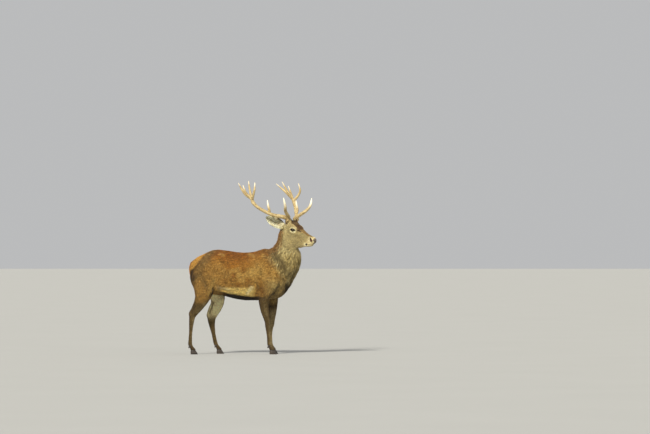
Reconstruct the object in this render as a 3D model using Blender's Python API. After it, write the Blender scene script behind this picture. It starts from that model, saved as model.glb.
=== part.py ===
"""Red deer stag, life size, standing square to +X with its head turned to its right. Metres, +Z up.

The flesh is swept as a few overlapping forms (trunk, neck, skull, jaw, legs), fused into one body and
parted with thin straight cuts. Antlers, eyes, ears, tail, hooves and dew claws are solids of their own.
"""

import math

import bmesh
import bpy
from mathutils import Matrix, Vector

GAP = 0.0003  # between solids that touch
CLEARANCE = 0.001  # round an eye, an ear or the tail in its seat
VOXEL = 0.0075  # grain of the fused body
BODY_TRIANGLES = 3800
HEAD_DENSITY = 0.955  # how much the head is spared when the body is thinned

HEAD_YAW = math.radians(-38)  # the head looks to the stag's right
HEAD_PITCH = math.radians(21)  # nose below the level of the eyes
BETWEEN_EYES = Vector((0.588, -0.105, 1.398))
EYE_RADIUS = 0.0185
EYE_SEAT = Vector((0.0, 0.0645, 0.004))  # in the head's own axes, left side
BURR_SEAT = Vector((-0.098, 0.062, 0.104))
CORONET = 0.047  # height of the hoof's upper rim
BELOW = 0.008  # where the foot's flesh ends, before it is cut off at the coronet
SOLE_LENGTH, SOLE_WIDTH = 0.082, 0.031

RIGHT, LEFT = -1, 1

# Trunk: x, height of the back, height of the belly, half width, share of the depth under the widest line.
TRUNK = (
    (-0.608, 1.000, 0.830, 0.075, 0.5),
    (-0.565, 1.072, 0.740, 0.138, 0.5),
    (-0.460, 1.130, 0.675, 0.184, 0.48),
    (-0.340, 1.179, 0.672, 0.198, 0.44),
    (-0.220, 1.175, 0.655, 0.205, 0.42),
    (-0.100, 1.156, 0.622, 0.220, 0.42),
    (0.010, 1.148, 0.605, 0.225, 0.43),
    (0.125, 1.160, 0.604, 0.211, 0.45),
    (0.220, 1.187, 0.609, 0.187, 0.48),
    (0.310, 1.170, 0.620, 0.172, 0.50),
    (0.400, 1.105, 0.632, 0.150, 0.52),
    (0.480, 1.020, 0.700, 0.115, 0.52),
    (0.525, 0.935, 0.790, 0.060, 0.5),
)
# Neck: nape x and z, throat x and z, half width, sideways drift, turn towards the head's yaw.
NECK = (
    (0.170, 1.130, 0.490, 0.740, 0.150, 0.000, 0.00),
    (0.270, 1.178, 0.556, 0.845, 0.165, 0.000, 0.00),
    (0.325, 1.205, 0.608, 0.945, 0.156, -0.004, 0.10),
    (0.358, 1.250, 0.638, 1.050, 0.142, -0.012, 0.25),
    (0.380, 1.305, 0.633, 1.150, 0.126, -0.022, 0.45),
    (0.390, 1.360, 0.600, 1.235, 0.108, -0.034, 0.65),
    (0.412, 1.415, 0.580, 1.300, 0.090, -0.044, 0.80),
    (0.450, 1.450, 0.570, 1.350, 0.070, -0.054, 1.00),
)
# Skull and jaw, in the head's axes: distance before the eyes, top, bottom, half width.
SKULL = (
    (-0.150, 0.030, -0.050, 0.044),
    (-0.122, 0.066, -0.075, 0.060),
    (-0.085, 0.086, -0.082, 0.069),
    (-0.040, 0.088, -0.082, 0.073),
    (0.005, 0.072, -0.078, 0.072),
    (0.050, 0.054, -0.072, 0.061),
    (0.100, 0.040, -0.066, 0.049),
    (0.155, 0.027, -0.060, 0.040),
    (0.212, 0.021, -0.056, 0.0370),
    (0.258, 0.021, -0.058, 0.0395),
    (0.288, 0.014, -0.056, 0.0365),
    (0.307, -0.003, -0.040, 0.025),
)
JAW = (
    (-0.085, -0.030, -0.140, 0.040),
    (-0.045, -0.025, -0.178, 0.053),
    (0.015, -0.025, -0.190, 0.054),
    (0.075, -0.025, -0.185, 0.047),
    (0.125, -0.025, -0.168, 0.038),
    (0.180, -0.020, -0.134, 0.032),
    (0.235, -0.020, -0.112, 0.031),
    (0.268, -0.028, -0.100, 0.027),
    (0.285, -0.050, -0.084, 0.016),
)
# Girths down a leg: reach to the front, to the back and to the side, one row for each point of the leg.
FORE_GIRTHS = (
    (0.070, 0.070, 0.045),
    (0.112, 0.115, 0.072),
    (0.118, 0.122, 0.076),
    (0.083, 0.085, 0.062),
    (0.057, 0.059, 0.048),
    (0.046, 0.050, 0.036),
    (0.034, 0.034, 0.030),
    (0.035, 0.031, 0.032),
    (0.024, 0.025, 0.0245),
    (0.0175, 0.021, 0.0175),
    (0.022, 0.027, 0.0235),
    (0.022, 0.023, 0.0265),
    (0.031, 0.028, 0.034),
    (0.036, 0.030, 0.036),
)
FORE_SPREAD = (
    0.095, 0.110, 0.118, 0.120, 0.118, 0.112, 0.108, 0.107, 0.106, 0.105, 0.105, 0.105, 0.105, 0.105,
)
FORE_POINTS = {
    RIGHT: (
        (0.265, 1.060), (0.305, 0.920), (0.290, 0.800), (0.236, 0.685), (0.224, 0.600), (0.238, 0.490),
        (0.264, 0.378), (0.267, 0.335), (0.269, 0.285), (0.277, 0.205), (0.287, 0.114), (0.301, 0.080),
        (0.316, CORONET), (0.325, BELOW),
    ),
    LEFT: (
        (0.270, 1.060), (0.315, 0.920), (0.320, 0.800), (0.315, 0.690), (0.326, 0.605), (0.322, 0.490),
        (0.312, 0.378), (0.307, 0.335), (0.301, 0.285), (0.300, 0.205), (0.301, 0.114), (0.313, 0.080),
        (0.328, CORONET), (0.337, BELOW),
    ),
}
THIGH_GIRTHS = ((0.120, 0.120, 0.065), (0.158, 0.150, 0.092), (0.114, 0.112, 0.084), (0.078, 0.080, 0.060))
FOOT_GIRTHS = ((0.0225, 0.028, 0.0245), (0.022, 0.023, 0.0270), (0.031, 0.028, 0.034), (0.036, 0.030, 0.036))
HIND_GIRTHS = {
    RIGHT: (
        *THIGH_GIRTHS,
        (0.056, 0.058, 0.044),
        (0.036, 0.042, 0.032),
        (0.029, 0.030, 0.027),
        (0.0195, 0.0215, 0.0195),
        *FOOT_GIRTHS,
    ),
    LEFT: (
        *THIGH_GIRTHS,
        (0.062, 0.064, 0.046),
        (0.052, 0.055, 0.034),
        (0.040, 0.041, 0.029),
        (0.024, 0.0255, 0.021),
        *FOOT_GIRTHS,
    ),
}
HOCK = 5  # the row of the hock
HIND_SPREAD = (0.080, 0.103, 0.122, 0.126, 0.122, 0.116, 0.115, 0.116, 0.118, 0.118, 0.118, 0.118)
HIND_POINTS = {
    RIGHT: (
        (-0.420, 1.010), (-0.450, 0.860), (-0.452, 0.710), (-0.478, 0.610), (-0.528, 0.520), (-0.574, 0.440),
        (-0.590, 0.370), (-0.599, 0.240), (-0.603, 0.114), (-0.589, 0.080), (-0.573, CORONET),
        (-0.565, BELOW),
    ),
    LEFT: (
        (-0.410, 1.010), (-0.400, 0.860), (-0.335, 0.710), (-0.297, 0.610), (-0.318, 0.520), (-0.366, 0.425),
        (-0.370, 0.355), (-0.350, 0.235), (-0.322, 0.114), (-0.304, 0.080), (-0.286, CORONET),
        (-0.276, BELOW),
    ),
}
TAIL = ((-0.540, 1.060, 0.020), (-0.580, 1.022, 0.029), (-0.594, 0.950, 0.027), (-0.596, 0.885, 0.012))
EAR_SEAT = Vector((-0.110, 0.068, -0.006))  # in the head's axes, left side
EAR_LENGTH, EAR_HALF_WIDTH, EAR_CUP = 0.245, 0.058, 0.032
# Where each ear points and where its opening faces, in the head's axes with outward as the second.
EAR_SET = {
    RIGHT: (Vector((-0.810, 0.536, 0.190)), Vector((0.70, 0.67, 0.08))),
    LEFT: (Vector((-0.860, 0.500, 0.050)), Vector((0.60, 0.74, 0.05))),
}

# Antler runs, from the burr: forward, outward and up, then the radius there. They are level with the
# ground and turn with the head.
BEAM = (
    (0.000, 0.000, -0.012, 0.025),
    (-0.030, 0.045, 0.014, 0.0225),
    (-0.100, 0.140, 0.036, 0.0195),
    (-0.150, 0.195, 0.064, 0.0185),
    (-0.198, 0.248, 0.100, 0.0175),
    (-0.238, 0.288, 0.138, 0.0175),
    (-0.270, 0.310, 0.182, 0.0190),
    (-0.292, 0.312, 0.222, 0.0185),
)
BROW_TINE = (
    (0.004, 0.004, 0.012, 0.0185),
    (0.022, 0.061, 0.046, 0.0180),
    (0.047, 0.122, 0.086, 0.0165),
    (0.075, 0.160, 0.135, 0.0145),
    (0.079, 0.181, 0.185, 0.0110),
    (0.075, 0.194, 0.232, 0.0036),
)
TREZ_TINE = (
    (-0.136, 0.182, 0.054, 0.0150),
    (-0.131, 0.193, 0.096, 0.0140),
    (-0.142, 0.197, 0.145, 0.0112),
    (-0.155, 0.196, 0.208, 0.0034),
)
CROWN_TINES = {
    "front": ((-0.283, 0.311, 0.200, 0.0145), (-0.240, 0.342, 0.262, 0.0135), (-0.215, 0.350, 0.325, 0.0110),
              (-0.226, 0.330, 0.405, 0.0036)),
    "outer": ((-0.292, 0.312, 0.222, 0.0140), (-0.345, 0.345, 0.290, 0.0115), (-0.385, 0.348, 0.375, 0.0034)),
    "inner": ((-0.290, 0.311, 0.219, 0.0145), (-0.330, 0.284, 0.290, 0.0125), (-0.368, 0.258, 0.368, 0.0095),
              (-0.392, 0.240, 0.424, 0.0034)),
    "rear": ((-0.292, 0.312, 0.222, 0.0165), (-0.360, 0.328, 0.270, 0.0150), (-0.428, 0.314, 0.328, 0.0110),
             (-0.508, 0.278, 0.400, 0.0036)),
}


# Along an ear: share of its length, width, depth of the cup, and how hollow its open side is.
EAR_RINGS = (
    (0.00, 0.42, 0.74, -0.80),
    (0.12, 0.64, 0.88, -0.50),
    (0.26, 0.88, 1.00, 0.20),
    (0.42, 1.00, 1.00, 0.62),
    (0.60, 1.00, 0.90, 0.70),
    (0.78, 0.82, 0.70, 0.66),
    (0.91, 0.48, 0.45, 0.50),
    (1.00, 0.10, 0.20, 0.20),
)
DEW_CLAW_RADII = (0.0095, 0.0095, 0.0035)
# Up a hoof: height, reach to the toe and to the heel, width, set back from the foot's middle.
CLAW_SPLIT = 0.0012
CLAW_RINGS = (
    (0.000, SOLE_LENGTH * 0.60, SOLE_LENGTH * 0.40, SOLE_WIDTH * 0.66, -0.006),
    (0.018, SOLE_LENGTH * 0.52, SOLE_LENGTH * 0.40, SOLE_WIDTH * 0.70, -0.004),
    (CORONET - GAP, SOLE_LENGTH * 0.32, SOLE_LENGTH * 0.32, SOLE_WIDTH * 0.66, 0.0),
)
# Where the beam is parted, from the burr, and the way it runs there (forward, outward, up).
BEAM_PARTINGS = (
    ("beam_upper", (-0.158, 0.204, 0.070), (-0.60, 0.64, 0.42)),
    ("crown_rear", (-0.284, 0.312, 0.205), (-0.45, 0.10, 0.88)),
)
# Boxes that part the body: the head's in its own axes, the neck's leaning with the shoulder.
HEAD_BLOCK = ((-0.162, -0.300, -0.188), (0.500, 0.300, 0.400))
NECK_BLOCK = ((0.000, -0.500, -0.600), (0.900, 0.500, 0.900))
NECK_SEAT, NECK_LEAN = Vector((0.350, 0, 1.030)), math.radians(-36)
LEG_BLOCKS = {
    "fore": ((0.050, -0.100), (0.600, 0.600)),
    "hind": ((-0.900, -0.100), (-0.150, 0.628)),
}


def material(name, colour, roughness):
    """A plain Principled finish."""
    made = bpy.data.materials.new(name)
    made.use_nodes = True
    shader = made.node_tree.nodes["Principled BSDF"]
    shader.inputs["Base Color"].default_value = (*colour, 1)
    shader.inputs["Roughness"].default_value = roughness
    return made


def head_matrix():
    """From the head's axes (forward, left, up from between the eyes) to the stag's."""
    turned = Matrix.Rotation(HEAD_YAW, 4, "Z") @ Matrix.Rotation(HEAD_PITCH, 4, "Y")
    return Matrix.Translation(BETWEEN_EYES) @ turned


def eased(rows, steps):
    """The rows with more between each pair, on a smooth curve through them."""
    made = []
    for i in range(len(rows) - 1):
        before, a, b, after = (rows[min(max(j, 0), len(rows) - 1)] for j in (i - 1, i, i + 1, i + 2))
        for k in range(steps):
            t = k / steps
            made.append(tuple(
                q + 0.5 * ((r - p) * t + (2 * p - 5 * q + 4 * r - s) * t**2 + (3 * q - p - 3 * r + s) * t**3)
                for p, q, r, s in zip(before, a, b, after)
            ))
    return made + [tuple(rows[-1])]


def span(top, bottom, side, reach, low=0.5):
    """A ring between two points: its middle, up axis, side axis, and reach up, down and sideways."""
    middle = bottom.lerp(top, low)
    up = top - bottom
    return (*middle, *up.normalized(), *side, up.length * (1 - low), up.length * low, reach)


def along(points, girths, side):
    """Rings square to a path, with the side axis as near to the one given as the path lets it be."""
    rows = []
    for i, (at, girth) in enumerate(zip(points, girths)):
        ahead = points[min(i + 1, len(points) - 1)] - points[max(i - 1, 0)]
        up = ahead.cross(side).normalized()
        rows.append((*at, *up, *up.cross(ahead).normalized(), *girth))
    return rows


def sweep(bm, rows, sides=20, power=2.0, steps=3):
    """Adds a closed form whose rings follow the rows."""
    rings = []
    fine = eased(rows, steps)
    for i, row in enumerate(fine):
        at_end = i in (0, len(fine) - 1)
        ring = bmesh.ops.create_circle(bm, cap_ends=at_end, segments=sides, radius=1)["verts"]
        middle, up, side = Vector(row[0:3]), Vector(row[3:6]).normalized(), Vector(row[6:9]).normalized()
        for v in ring:
            across = math.copysign(abs(v.co.x) ** (2 / power), v.co.x)
            rise = math.copysign(abs(v.co.y) ** (2 / power), v.co.y)
            v.co = middle + side * across * row[11] + up * rise * (row[9] if rise > 0 else row[10])
        rings.append({e for v in ring for e in v.link_edges})
    for a, b in zip(rings, rings[1:]):
        bmesh.ops.bridge_loops(bm, edges=list(a | b))
    bmesh.ops.recalc_face_normals(bm, faces=bm.faces)


def mesh_object(name, bm, finish=None, smooth=True):
    mesh = bpy.data.meshes.new(name)
    bm.to_mesh(mesh)
    bm.free()
    made = bpy.data.objects.new(name, mesh)
    bpy.context.scene.collection.objects.link(made)
    if finish:
        mesh.materials.append(finish)
    if smooth:
        mesh.shade_smooth()
    return made


def settle(obj):
    """Turns the object's modifiers into its mesh."""
    graph = bpy.context.evaluated_depsgraph_get()
    mesh = bpy.data.meshes.new_from_object(obj.evaluated_get(graph))
    obj.modifiers.clear()
    obj.data = mesh
    return obj


def carve(obj, cutter, operation="DIFFERENCE"):
    """Cuts one solid with another and keeps the result."""
    cut = obj.modifiers.new("cut", "BOOLEAN")
    cut.operation = operation
    cut.object = cutter
    return settle(obj)


def discard(*helpers):
    for helper in helpers:
        bpy.data.objects.remove(helper)


def copy_of(obj, name):
    made = bpy.data.objects.new(name, obj.data.copy())
    bpy.context.scene.collection.objects.link(made)
    return made


def leg_rows(points, spread, girths, side):
    path = [Vector((x, side * y, z)) for (x, z), y in zip(points, spread)]
    return along(path, girths, Vector((0, 1, 0)))


def add_hock(bm, points, spread, girths, side):
    """The heel bone behind the hock, with the tendon that runs up to the calf and down the shank."""
    gaskin, hock, shank = (
        Vector((points[i][0], side * spread[i], points[i][1])) for i in (HOCK - 2, HOCK, HOCK + 2)
    )
    heel = girths[HOCK][1] - 0.008
    back = Vector((-1, 0, 0))
    path = [
        gaskin + back * 0.052,
        gaskin.lerp(hock, 0.6) + back * (heel + 0.014),
        hock + back * heel + Vector((0, 0, 0.026)),
        hock + back * (heel - 0.006) + Vector((0, 0, -0.020)),
        hock.lerp(shank, 0.55) + back * 0.012,
    ]
    thickness = ((0.018, 0.018, 0.016), (0.014, 0.014, 0.012), (0.019, 0.016, 0.015), (0.018, 0.016, 0.015),
                 (0.011, 0.011, 0.012))
    sweep(bm, along(path, thickness, Vector((0, 1, 0))), sides=12)


def add_head(bm):
    """Skull, jaw, cheeks, brows, pedicles and ear roots, in the head's own axes."""
    side = Vector((0, 1, 0))
    for rows, power, low in ((SKULL, 2.3, 0.52), (JAW, 2.2, 0.5)):
        rings = [span(Vector((f, 0, top)), Vector((f, 0, bottom)), side, wide, low)
                 for f, top, bottom, wide in rows]
        sweep(bm, rings, sides=24, power=power)
    for hand in (RIGHT, LEFT):
        out = Vector((1, hand, 1))
        brow = [Vector((-0.030, 0.052, 0.040)), Vector((0.006, 0.062, 0.040)), Vector((0.046, 0.052, 0.032))]
        cheek = [Vector((-0.070, 0.042, -0.055)), Vector((-0.005, 0.047, -0.092)),
                 Vector((0.085, 0.038, -0.080))]
        under_eye = [Vector((-0.030, 0.052, -0.030)), Vector((0.020, 0.056, -0.028)),
                     Vector((0.090, 0.038, -0.018))]
        pedicle = [Vector((-0.070, 0.040, 0.050)), Vector((-0.092, 0.058, 0.092)), BURR_SEAT]
        ear_root = [Vector((-0.092, 0.048, -0.014)), Vector((-0.124, 0.082, 0.004))]
        sweep(bm, along([p * out for p in brow], [(0.017, 0.017, 0.018), (0.021, 0.018, 0.021),
                                                 (0.016, 0.016, 0.017)], side), sides=12)
        sweep(bm, along([p * out for p in cheek], [(0.030, 0.030, 0.020), (0.048, 0.046, 0.020),
                                                  (0.026, 0.030, 0.014)], side), sides=14)
        sweep(bm, along([p * out for p in under_eye], [(0.018, 0.018, 0.016), (0.020, 0.020, 0.016),
                                                      (0.016, 0.016, 0.012)], side), sides=12)
        sweep(bm, along([p * out for p in pedicle], [(0.036, 0.032, 0.032), (0.034, 0.028, 0.030),
                                                    (0.023, 0.023, 0.023)], side), sides=14)
        sweep(bm, along([p * out for p in ear_root], [(0.034, 0.034, 0.030), (0.026, 0.026, 0.024)], side),
              sides=14)


def fused_body():
    """All the flesh as one closed mesh, thinned to few faces but kept finer on the head."""
    head = bmesh.new()
    add_head(head)
    bmesh.ops.transform(head, matrix=head_matrix(), verts=head.verts)
    whole = bmesh.new()
    head_mesh = bpy.data.meshes.new("head_forms")
    head.to_mesh(head_mesh)
    head.free()
    whole.from_mesh(head_mesh)
    side = Vector((0, 1, 0))
    sweep(whole, [span(Vector((x, 0, top)), Vector((x, 0, bottom)), side, wide, low)
                  for x, top, bottom, wide, low in TRUNK], sides=28, power=2.1)
    neck = []
    for nx, nz, tx, tz, wide, drift, turn in NECK:
        turned = Matrix.Rotation(HEAD_YAW * turn, 3, "Z")
        middle = Vector(((nx + tx) / 2, drift, (nz + tz) / 2))
        half = turned @ Vector(((nx - tx) / 2, 0, (nz - tz) / 2))
        neck.append(span(middle + half, middle - half, turned @ side, wide))
    sweep(whole, neck, sides=26)
    for hand in (RIGHT, LEFT):
        sweep(whole, leg_rows(FORE_POINTS[hand], FORE_SPREAD, FORE_GIRTHS, hand), sides=16)
        sweep(whole, leg_rows(HIND_POINTS[hand], HIND_SPREAD, HIND_GIRTHS[hand], hand), sides=16)
        add_hock(whole, HIND_POINTS[hand], HIND_SPREAD, HIND_GIRTHS[hand], hand)
    body = mesh_object("body", whole)
    fuse = body.modifiers.new("fuse", "REMESH")
    fuse.mode = "VOXEL"
    fuse.voxel_size = VOXEL
    soften = body.modifiers.new("soften", "SMOOTH")
    soften.factor = 0.5
    soften.iterations = 12
    settle(body)
    spared = body.vertex_groups.new(name="thin")
    for v in body.data.vertices:
        on_head = v.co.x + v.co.z > 1.86
        on_foot = v.co.z < 0.46
        spared.add([v.index], HEAD_DENSITY if on_head else 0.95 if on_foot else 1.0, "REPLACE")
    thin = body.modifiers.new("thin", "DECIMATE")
    thin.ratio = BODY_TRIANGLES / (2 * len(body.data.polygons))
    thin.vertex_group = "thin"
    thin.vertex_group_factor = 1.0
    return settle(body)


def tube(bm, path, radii, sides=9, steps=3, grow=0.0):
    """Adds a closed round form along a path, its rings turned as little as the path lets them."""
    fine = eased([(*at, radius) for at, radius in zip(path, radii)], steps)
    points = [Vector(row[0:3]) for row in fine]
    rings = []
    ahead = (points[1] - points[0]).normalized()
    points[0] -= ahead * grow
    points[-1] += (points[-1] - points[-2]).normalized() * grow
    side = ahead.orthogonal().normalized()
    for i, row in enumerate(fine):
        tangent = (points[min(i + 1, len(points) - 1)] - points[max(i - 1, 0)]).normalized()
        side.rotate(ahead.rotation_difference(tangent))
        ahead = tangent
        ring = bmesh.ops.create_circle(
            bm, cap_ends=i in (0, len(fine) - 1), segments=sides, radius=row[3] + grow
        )["verts"]
        turned = Matrix((side, ahead.cross(side), ahead)).transposed().to_4x4()
        bmesh.ops.transform(bm, matrix=Matrix.Translation(points[i]) @ turned, verts=ring)
        rings.append({e for v in ring for e in v.link_edges})
    for a, b in zip(rings, rings[1:]):
        bmesh.ops.bridge_loops(bm, edges=list(a | b))
    bmesh.ops.recalc_face_normals(bm, faces=bm.faces)


def eye(hand, grow=0.0):
    bm = bmesh.new()
    seat = Vector((EYE_SEAT.x, EYE_SEAT.y * hand, EYE_SEAT.z))
    bmesh.ops.create_uvsphere(bm, u_segments=12, v_segments=7, radius=EYE_RADIUS + grow)
    bmesh.ops.transform(bm, matrix=head_matrix() @ Matrix.Translation(seat), verts=bm.verts)
    return bm


def ear(hand, grow=0.0):
    """A cupped leaf: full at its root, hollow on its open side further out."""
    pointing, opening = (v * Vector((1, hand, 1)) for v in EAR_SET[hand])
    ahead = pointing.normalized()
    across = ahead.cross(opening).normalized()
    facing = across.cross(ahead).normalized()
    seat = EAR_SEAT * Vector((1, hand, 1))
    bm = bmesh.new()
    rings = []
    for share, wide, deep, hollow in EAR_RINGS:
        ring = bmesh.ops.create_circle(
            bm, cap_ends=share in (0, 1), segments=12, radius=1
        )["verts"]
        for v in ring:
            bulge = deep * EAR_CUP * math.sqrt(max(0.0, 1 - v.co.x**2))
            inner = v.co.y > 0
            level = (-hollow if inner else -1) * bulge + (grow if inner else -grow)
            reach = share * EAR_LENGTH + (2 * share - 1) * grow
            v.co = seat + ahead * reach + across * v.co.x * (wide * EAR_HALF_WIDTH + grow) + facing * level
        rings.append({e for v in ring for e in v.link_edges})
    for a, b in zip(rings, rings[1:]):
        bmesh.ops.bridge_loops(bm, edges=list(a | b))
    bmesh.ops.recalc_face_normals(bm, faces=bm.faces)
    bmesh.ops.transform(bm, matrix=head_matrix(), verts=bm.verts)
    return bm


def antler_run(hand, rows, grow=0.0, sides=9, steps=2):
    """One beam or tine of an antler as a closed tube."""
    level = Matrix.Rotation(HEAD_YAW, 4, "Z")
    burr = head_matrix() @ (BURR_SEAT * Vector((1, hand, 1)))
    path = [burr + level @ Vector((f, hand * out, up)) for f, out, up, _ in rows]
    bm = bmesh.new()
    tube(bm, path, [row[3] for row in rows], sides=sides, steps=steps, grow=grow)
    return bm


def tail(grow=0.0):
    bm = bmesh.new()
    tube(bm, [Vector((x, 0, z)) for x, z, _ in TAIL], [r for _, _, r in TAIL], sides=9, steps=2, grow=grow)
    return bm


def claw(foot, side):
    """One half of a cloven hoof, from the sole to the coronet; side is its half, +1 to the stag's left."""
    bm = bmesh.new()
    rings = []
    for height, toe, heel, wide, set_back in CLAW_RINGS:
        ring = bmesh.ops.create_circle(
            bm, cap_ends=height in (CLAW_RINGS[0][0], CLAW_RINGS[-1][0]), segments=12, radius=1
        )["verts"]
        for v in ring:
            reach = toe if v.co.x > 0 else heel
            narrow = 1 - 0.30 * max(0.0, v.co.x) ** 2
            outward = v.co.y * side
            spread = wide if outward > 0 else wide * 0.45
            v.co = Vector((
                foot.x - set_back + v.co.x * reach,
                foot.y + side * (CLAW_SPLIT + wide * 0.45 + outward * spread * narrow),
                height,
            ))
        rings.append({e for v in ring for e in v.link_edges})
    for a, b in zip(rings, rings[1:]):
        bmesh.ops.bridge_loops(bm, edges=list(a | b))
    bmesh.ops.recalc_face_normals(bm, faces=bm.faces)
    return bm


def dew_claw(foot, side, grow=0.0):
    bm = bmesh.new()
    top = foot + Vector((-0.026, side * 0.014, CORONET + 0.052))
    tip = foot + Vector((-0.050, side * 0.021, CORONET + 0.022))
    bend = Vector((-0.004, 0, 0.002))
    path = [top, top.lerp(tip, 0.5) + bend, tip]
    tube(bm, path, DEW_CLAW_RADII, sides=6, steps=1, grow=grow)
    return bm


def block(name, low, high, placed=None):
    """A box used to part the body."""
    bm = bmesh.new()
    low, high = Vector(low), Vector(high)
    bmesh.ops.create_cube(bm, size=1, matrix=Matrix.Translation((low + high) / 2))
    for v in bm.verts:
        v.co = Vector([(h if c > m else l) for c, m, l, h in zip(v.co, (low + high) / 2, low, high)])
    if placed:
        bmesh.ops.transform(bm, matrix=placed, verts=bm.verts)
    helper = mesh_object(name, bm, smooth=False)
    helper.hide_render = True
    helper.display_type = "WIRE"
    return helper


def take(body, name, low, high, placed=None):
    """Parts off what lies in a box, with a thin gap at its faces."""
    piece = copy_of(body, name)
    inside = block("inside", low, high, placed)
    outside = block("outside", [c - GAP for c in low], [c + GAP for c in high], placed)
    carve(piece, inside, "INTERSECT")
    carve(body, outside)
    discard(inside, outside)
    return piece


def seat_in(flesh, grown):
    """Sinks a socket for a solid that was made a little larger for this."""
    cutter = mesh_object("cutter", grown, smooth=False)
    carve(flesh, cutter)
    discard(cutter)


def add_antler(hand, side_name, bone):
    """Beam, tines and crown of one antler, each cut clear of what it grows from."""
    main_run = BEAM[:-1] + CROWN_TINES["rear"]
    beam = mesh_object(f"antler_{side_name}_beam_lower", antler_run(hand, main_run), bone)
    grown = [antler_run(hand, main_run, GAP)]
    branches = {"brow": BROW_TINE, "trez": TREZ_TINE}
    branches.update({f"crown_{name}": rows for name, rows in CROWN_TINES.items() if name != "rear"})
    for name, rows in branches.items():
        tine = mesh_object(f"antler_{side_name}_{name}", antler_run(hand, rows, sides=7), bone)
        for before in grown:
            seat_in(tine, before.copy())
        grown.append(antler_run(hand, rows, GAP, sides=7))
    for before in grown:
        before.free()
    level = Matrix.Rotation(HEAD_YAW, 4, "Z")
    burr = head_matrix() @ (BURR_SEAT * Vector((1, hand, 1)))
    for name, at, ahead in BEAM_PARTINGS:
        point = burr + level @ Vector((at[0], hand * at[1], at[2]))
        normal = level @ Vector((ahead[0], hand * ahead[1], ahead[2]))
        facing = Matrix.Translation(point) @ normal.to_track_quat("Z", "Y").to_matrix().to_4x4()
        upper = take(beam, "upper", (-0.3, -0.3, 0), (0.3, 0.3, 0.5), facing)
        upper.name = f"antler_{side_name}_{name}"
        beam = upper


def main():
    for old in list(bpy.data.objects):
        bpy.data.objects.remove(old)
    coat = material("red_brown_coat", (0.36, 0.19, 0.08), 0.8)
    mane = material("grey_brown_mane", (0.22, 0.17, 0.12), 0.85)
    face = material("grey_tan_face", (0.36, 0.26, 0.17), 0.75)
    shank = material("dark_leg_coat", (0.17, 0.12, 0.08), 0.8)
    rump = material("orange_tail", (0.45, 0.26, 0.10), 0.8)
    antler = material("golden_antler", (0.45, 0.29, 0.12), 0.5)
    horn = material("dark_hoof", (0.05, 0.04, 0.035), 0.45)
    dark_eye = material("dark_eye", (0.02, 0.012, 0.008), 0.06)

    body = fused_body()
    body.data.materials.append(coat)
    below_coronet = block("below_coronet", (-2, -2, -1), (2, 2, CORONET + GAP))
    carve(body, below_coronet)
    discard(below_coronet)
    sides = {"right": RIGHT, "left": LEFT}
    for side_name, hand in sides.items():
        for build, name, finish in ((eye, "eye", dark_eye), (ear, "ear", face)):
            seat_in(body, build(hand, CLEARANCE))
            mesh_object(f"{name}_{side_name}", build(hand), finish)
        seat_in(body, antler_run(hand, BEAM[:3], GAP))
        for end, points, spread in (("fore", FORE_POINTS, FORE_SPREAD), ("hind", HIND_POINTS, HIND_SPREAD)):
            foot = Vector((points[hand][-2][0], hand * spread[-2], 0))
            for half, side in (("inner", -hand), ("outer", hand)):
                mesh_object(f"hoof_{end}_{side_name}_{half}", claw(foot, side), horn)
                seat_in(body, dew_claw(foot, side, GAP))
                mesh_object(f"dew_claw_{end}_{side_name}_{half}", dew_claw(foot, side), horn)
        add_antler(hand, side_name, antler)
    seat_in(body, tail(CLEARANCE))
    mesh_object("tail", tail(), rump)

    head = take(body, "head", *HEAD_BLOCK, head_matrix())
    lean = Matrix.Translation(NECK_SEAT) @ Matrix.Rotation(NECK_LEAN, 4, "Y")
    neck = take(body, "neck", *NECK_BLOCK, lean)
    for side_name, hand in sides.items():
        for end, (low, high) in LEG_BLOCKS.items():
            near, far = sorted((hand * 0.001, hand * 0.5))
            leg = take(body, f"{end}_leg_{side_name}", (low[0], near, low[1]), (high[0], far, high[1]))
            leg.data.materials[0] = shank
    head.data.materials[0] = face
    neck.data.materials[0] = mane
    body.name = "trunk"
    stand_on_origin()


def stand_on_origin():
    """Puts the middle of the whole stag's box over the origin, with its soles at zero."""
    meshes = [obj.data for obj in bpy.context.scene.objects]
    points = [v.co for mesh in meshes for v in mesh.vertices]
    low, high = ([pick(p[axis] for p in points) for axis in range(3)] for pick in (min, max))
    shift = Matrix.Translation((-(low[0] + high[0]) / 2, -(low[1] + high[1]) / 2, -low[2]))
    for mesh in meshes:
        mesh.transform(shift)


main()
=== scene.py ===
import itertools
import math

import bmesh
import bpy
import numpy as np
from mathutils import Matrix, Vector
from mathutils.bvhtree import BVHTree


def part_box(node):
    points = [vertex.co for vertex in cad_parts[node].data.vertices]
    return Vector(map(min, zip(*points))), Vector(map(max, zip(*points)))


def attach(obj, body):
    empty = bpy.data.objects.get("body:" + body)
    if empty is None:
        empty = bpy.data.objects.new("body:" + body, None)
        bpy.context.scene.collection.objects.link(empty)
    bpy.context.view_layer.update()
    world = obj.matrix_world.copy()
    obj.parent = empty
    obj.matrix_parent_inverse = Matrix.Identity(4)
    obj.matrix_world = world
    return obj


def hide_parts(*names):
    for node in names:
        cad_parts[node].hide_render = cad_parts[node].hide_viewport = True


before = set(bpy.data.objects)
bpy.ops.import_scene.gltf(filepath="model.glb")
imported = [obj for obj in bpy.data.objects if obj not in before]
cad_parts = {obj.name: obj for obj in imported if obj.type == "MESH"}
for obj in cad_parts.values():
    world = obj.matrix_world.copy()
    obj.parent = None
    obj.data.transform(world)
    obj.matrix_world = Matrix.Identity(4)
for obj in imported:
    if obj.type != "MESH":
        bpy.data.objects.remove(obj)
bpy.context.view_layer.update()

hands = {"right": -1, "left": 1}
dice = np.random.default_rng(11)


# where things are

def middleOf(node):
    low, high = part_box(node)
    return (low + high) / 2


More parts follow.
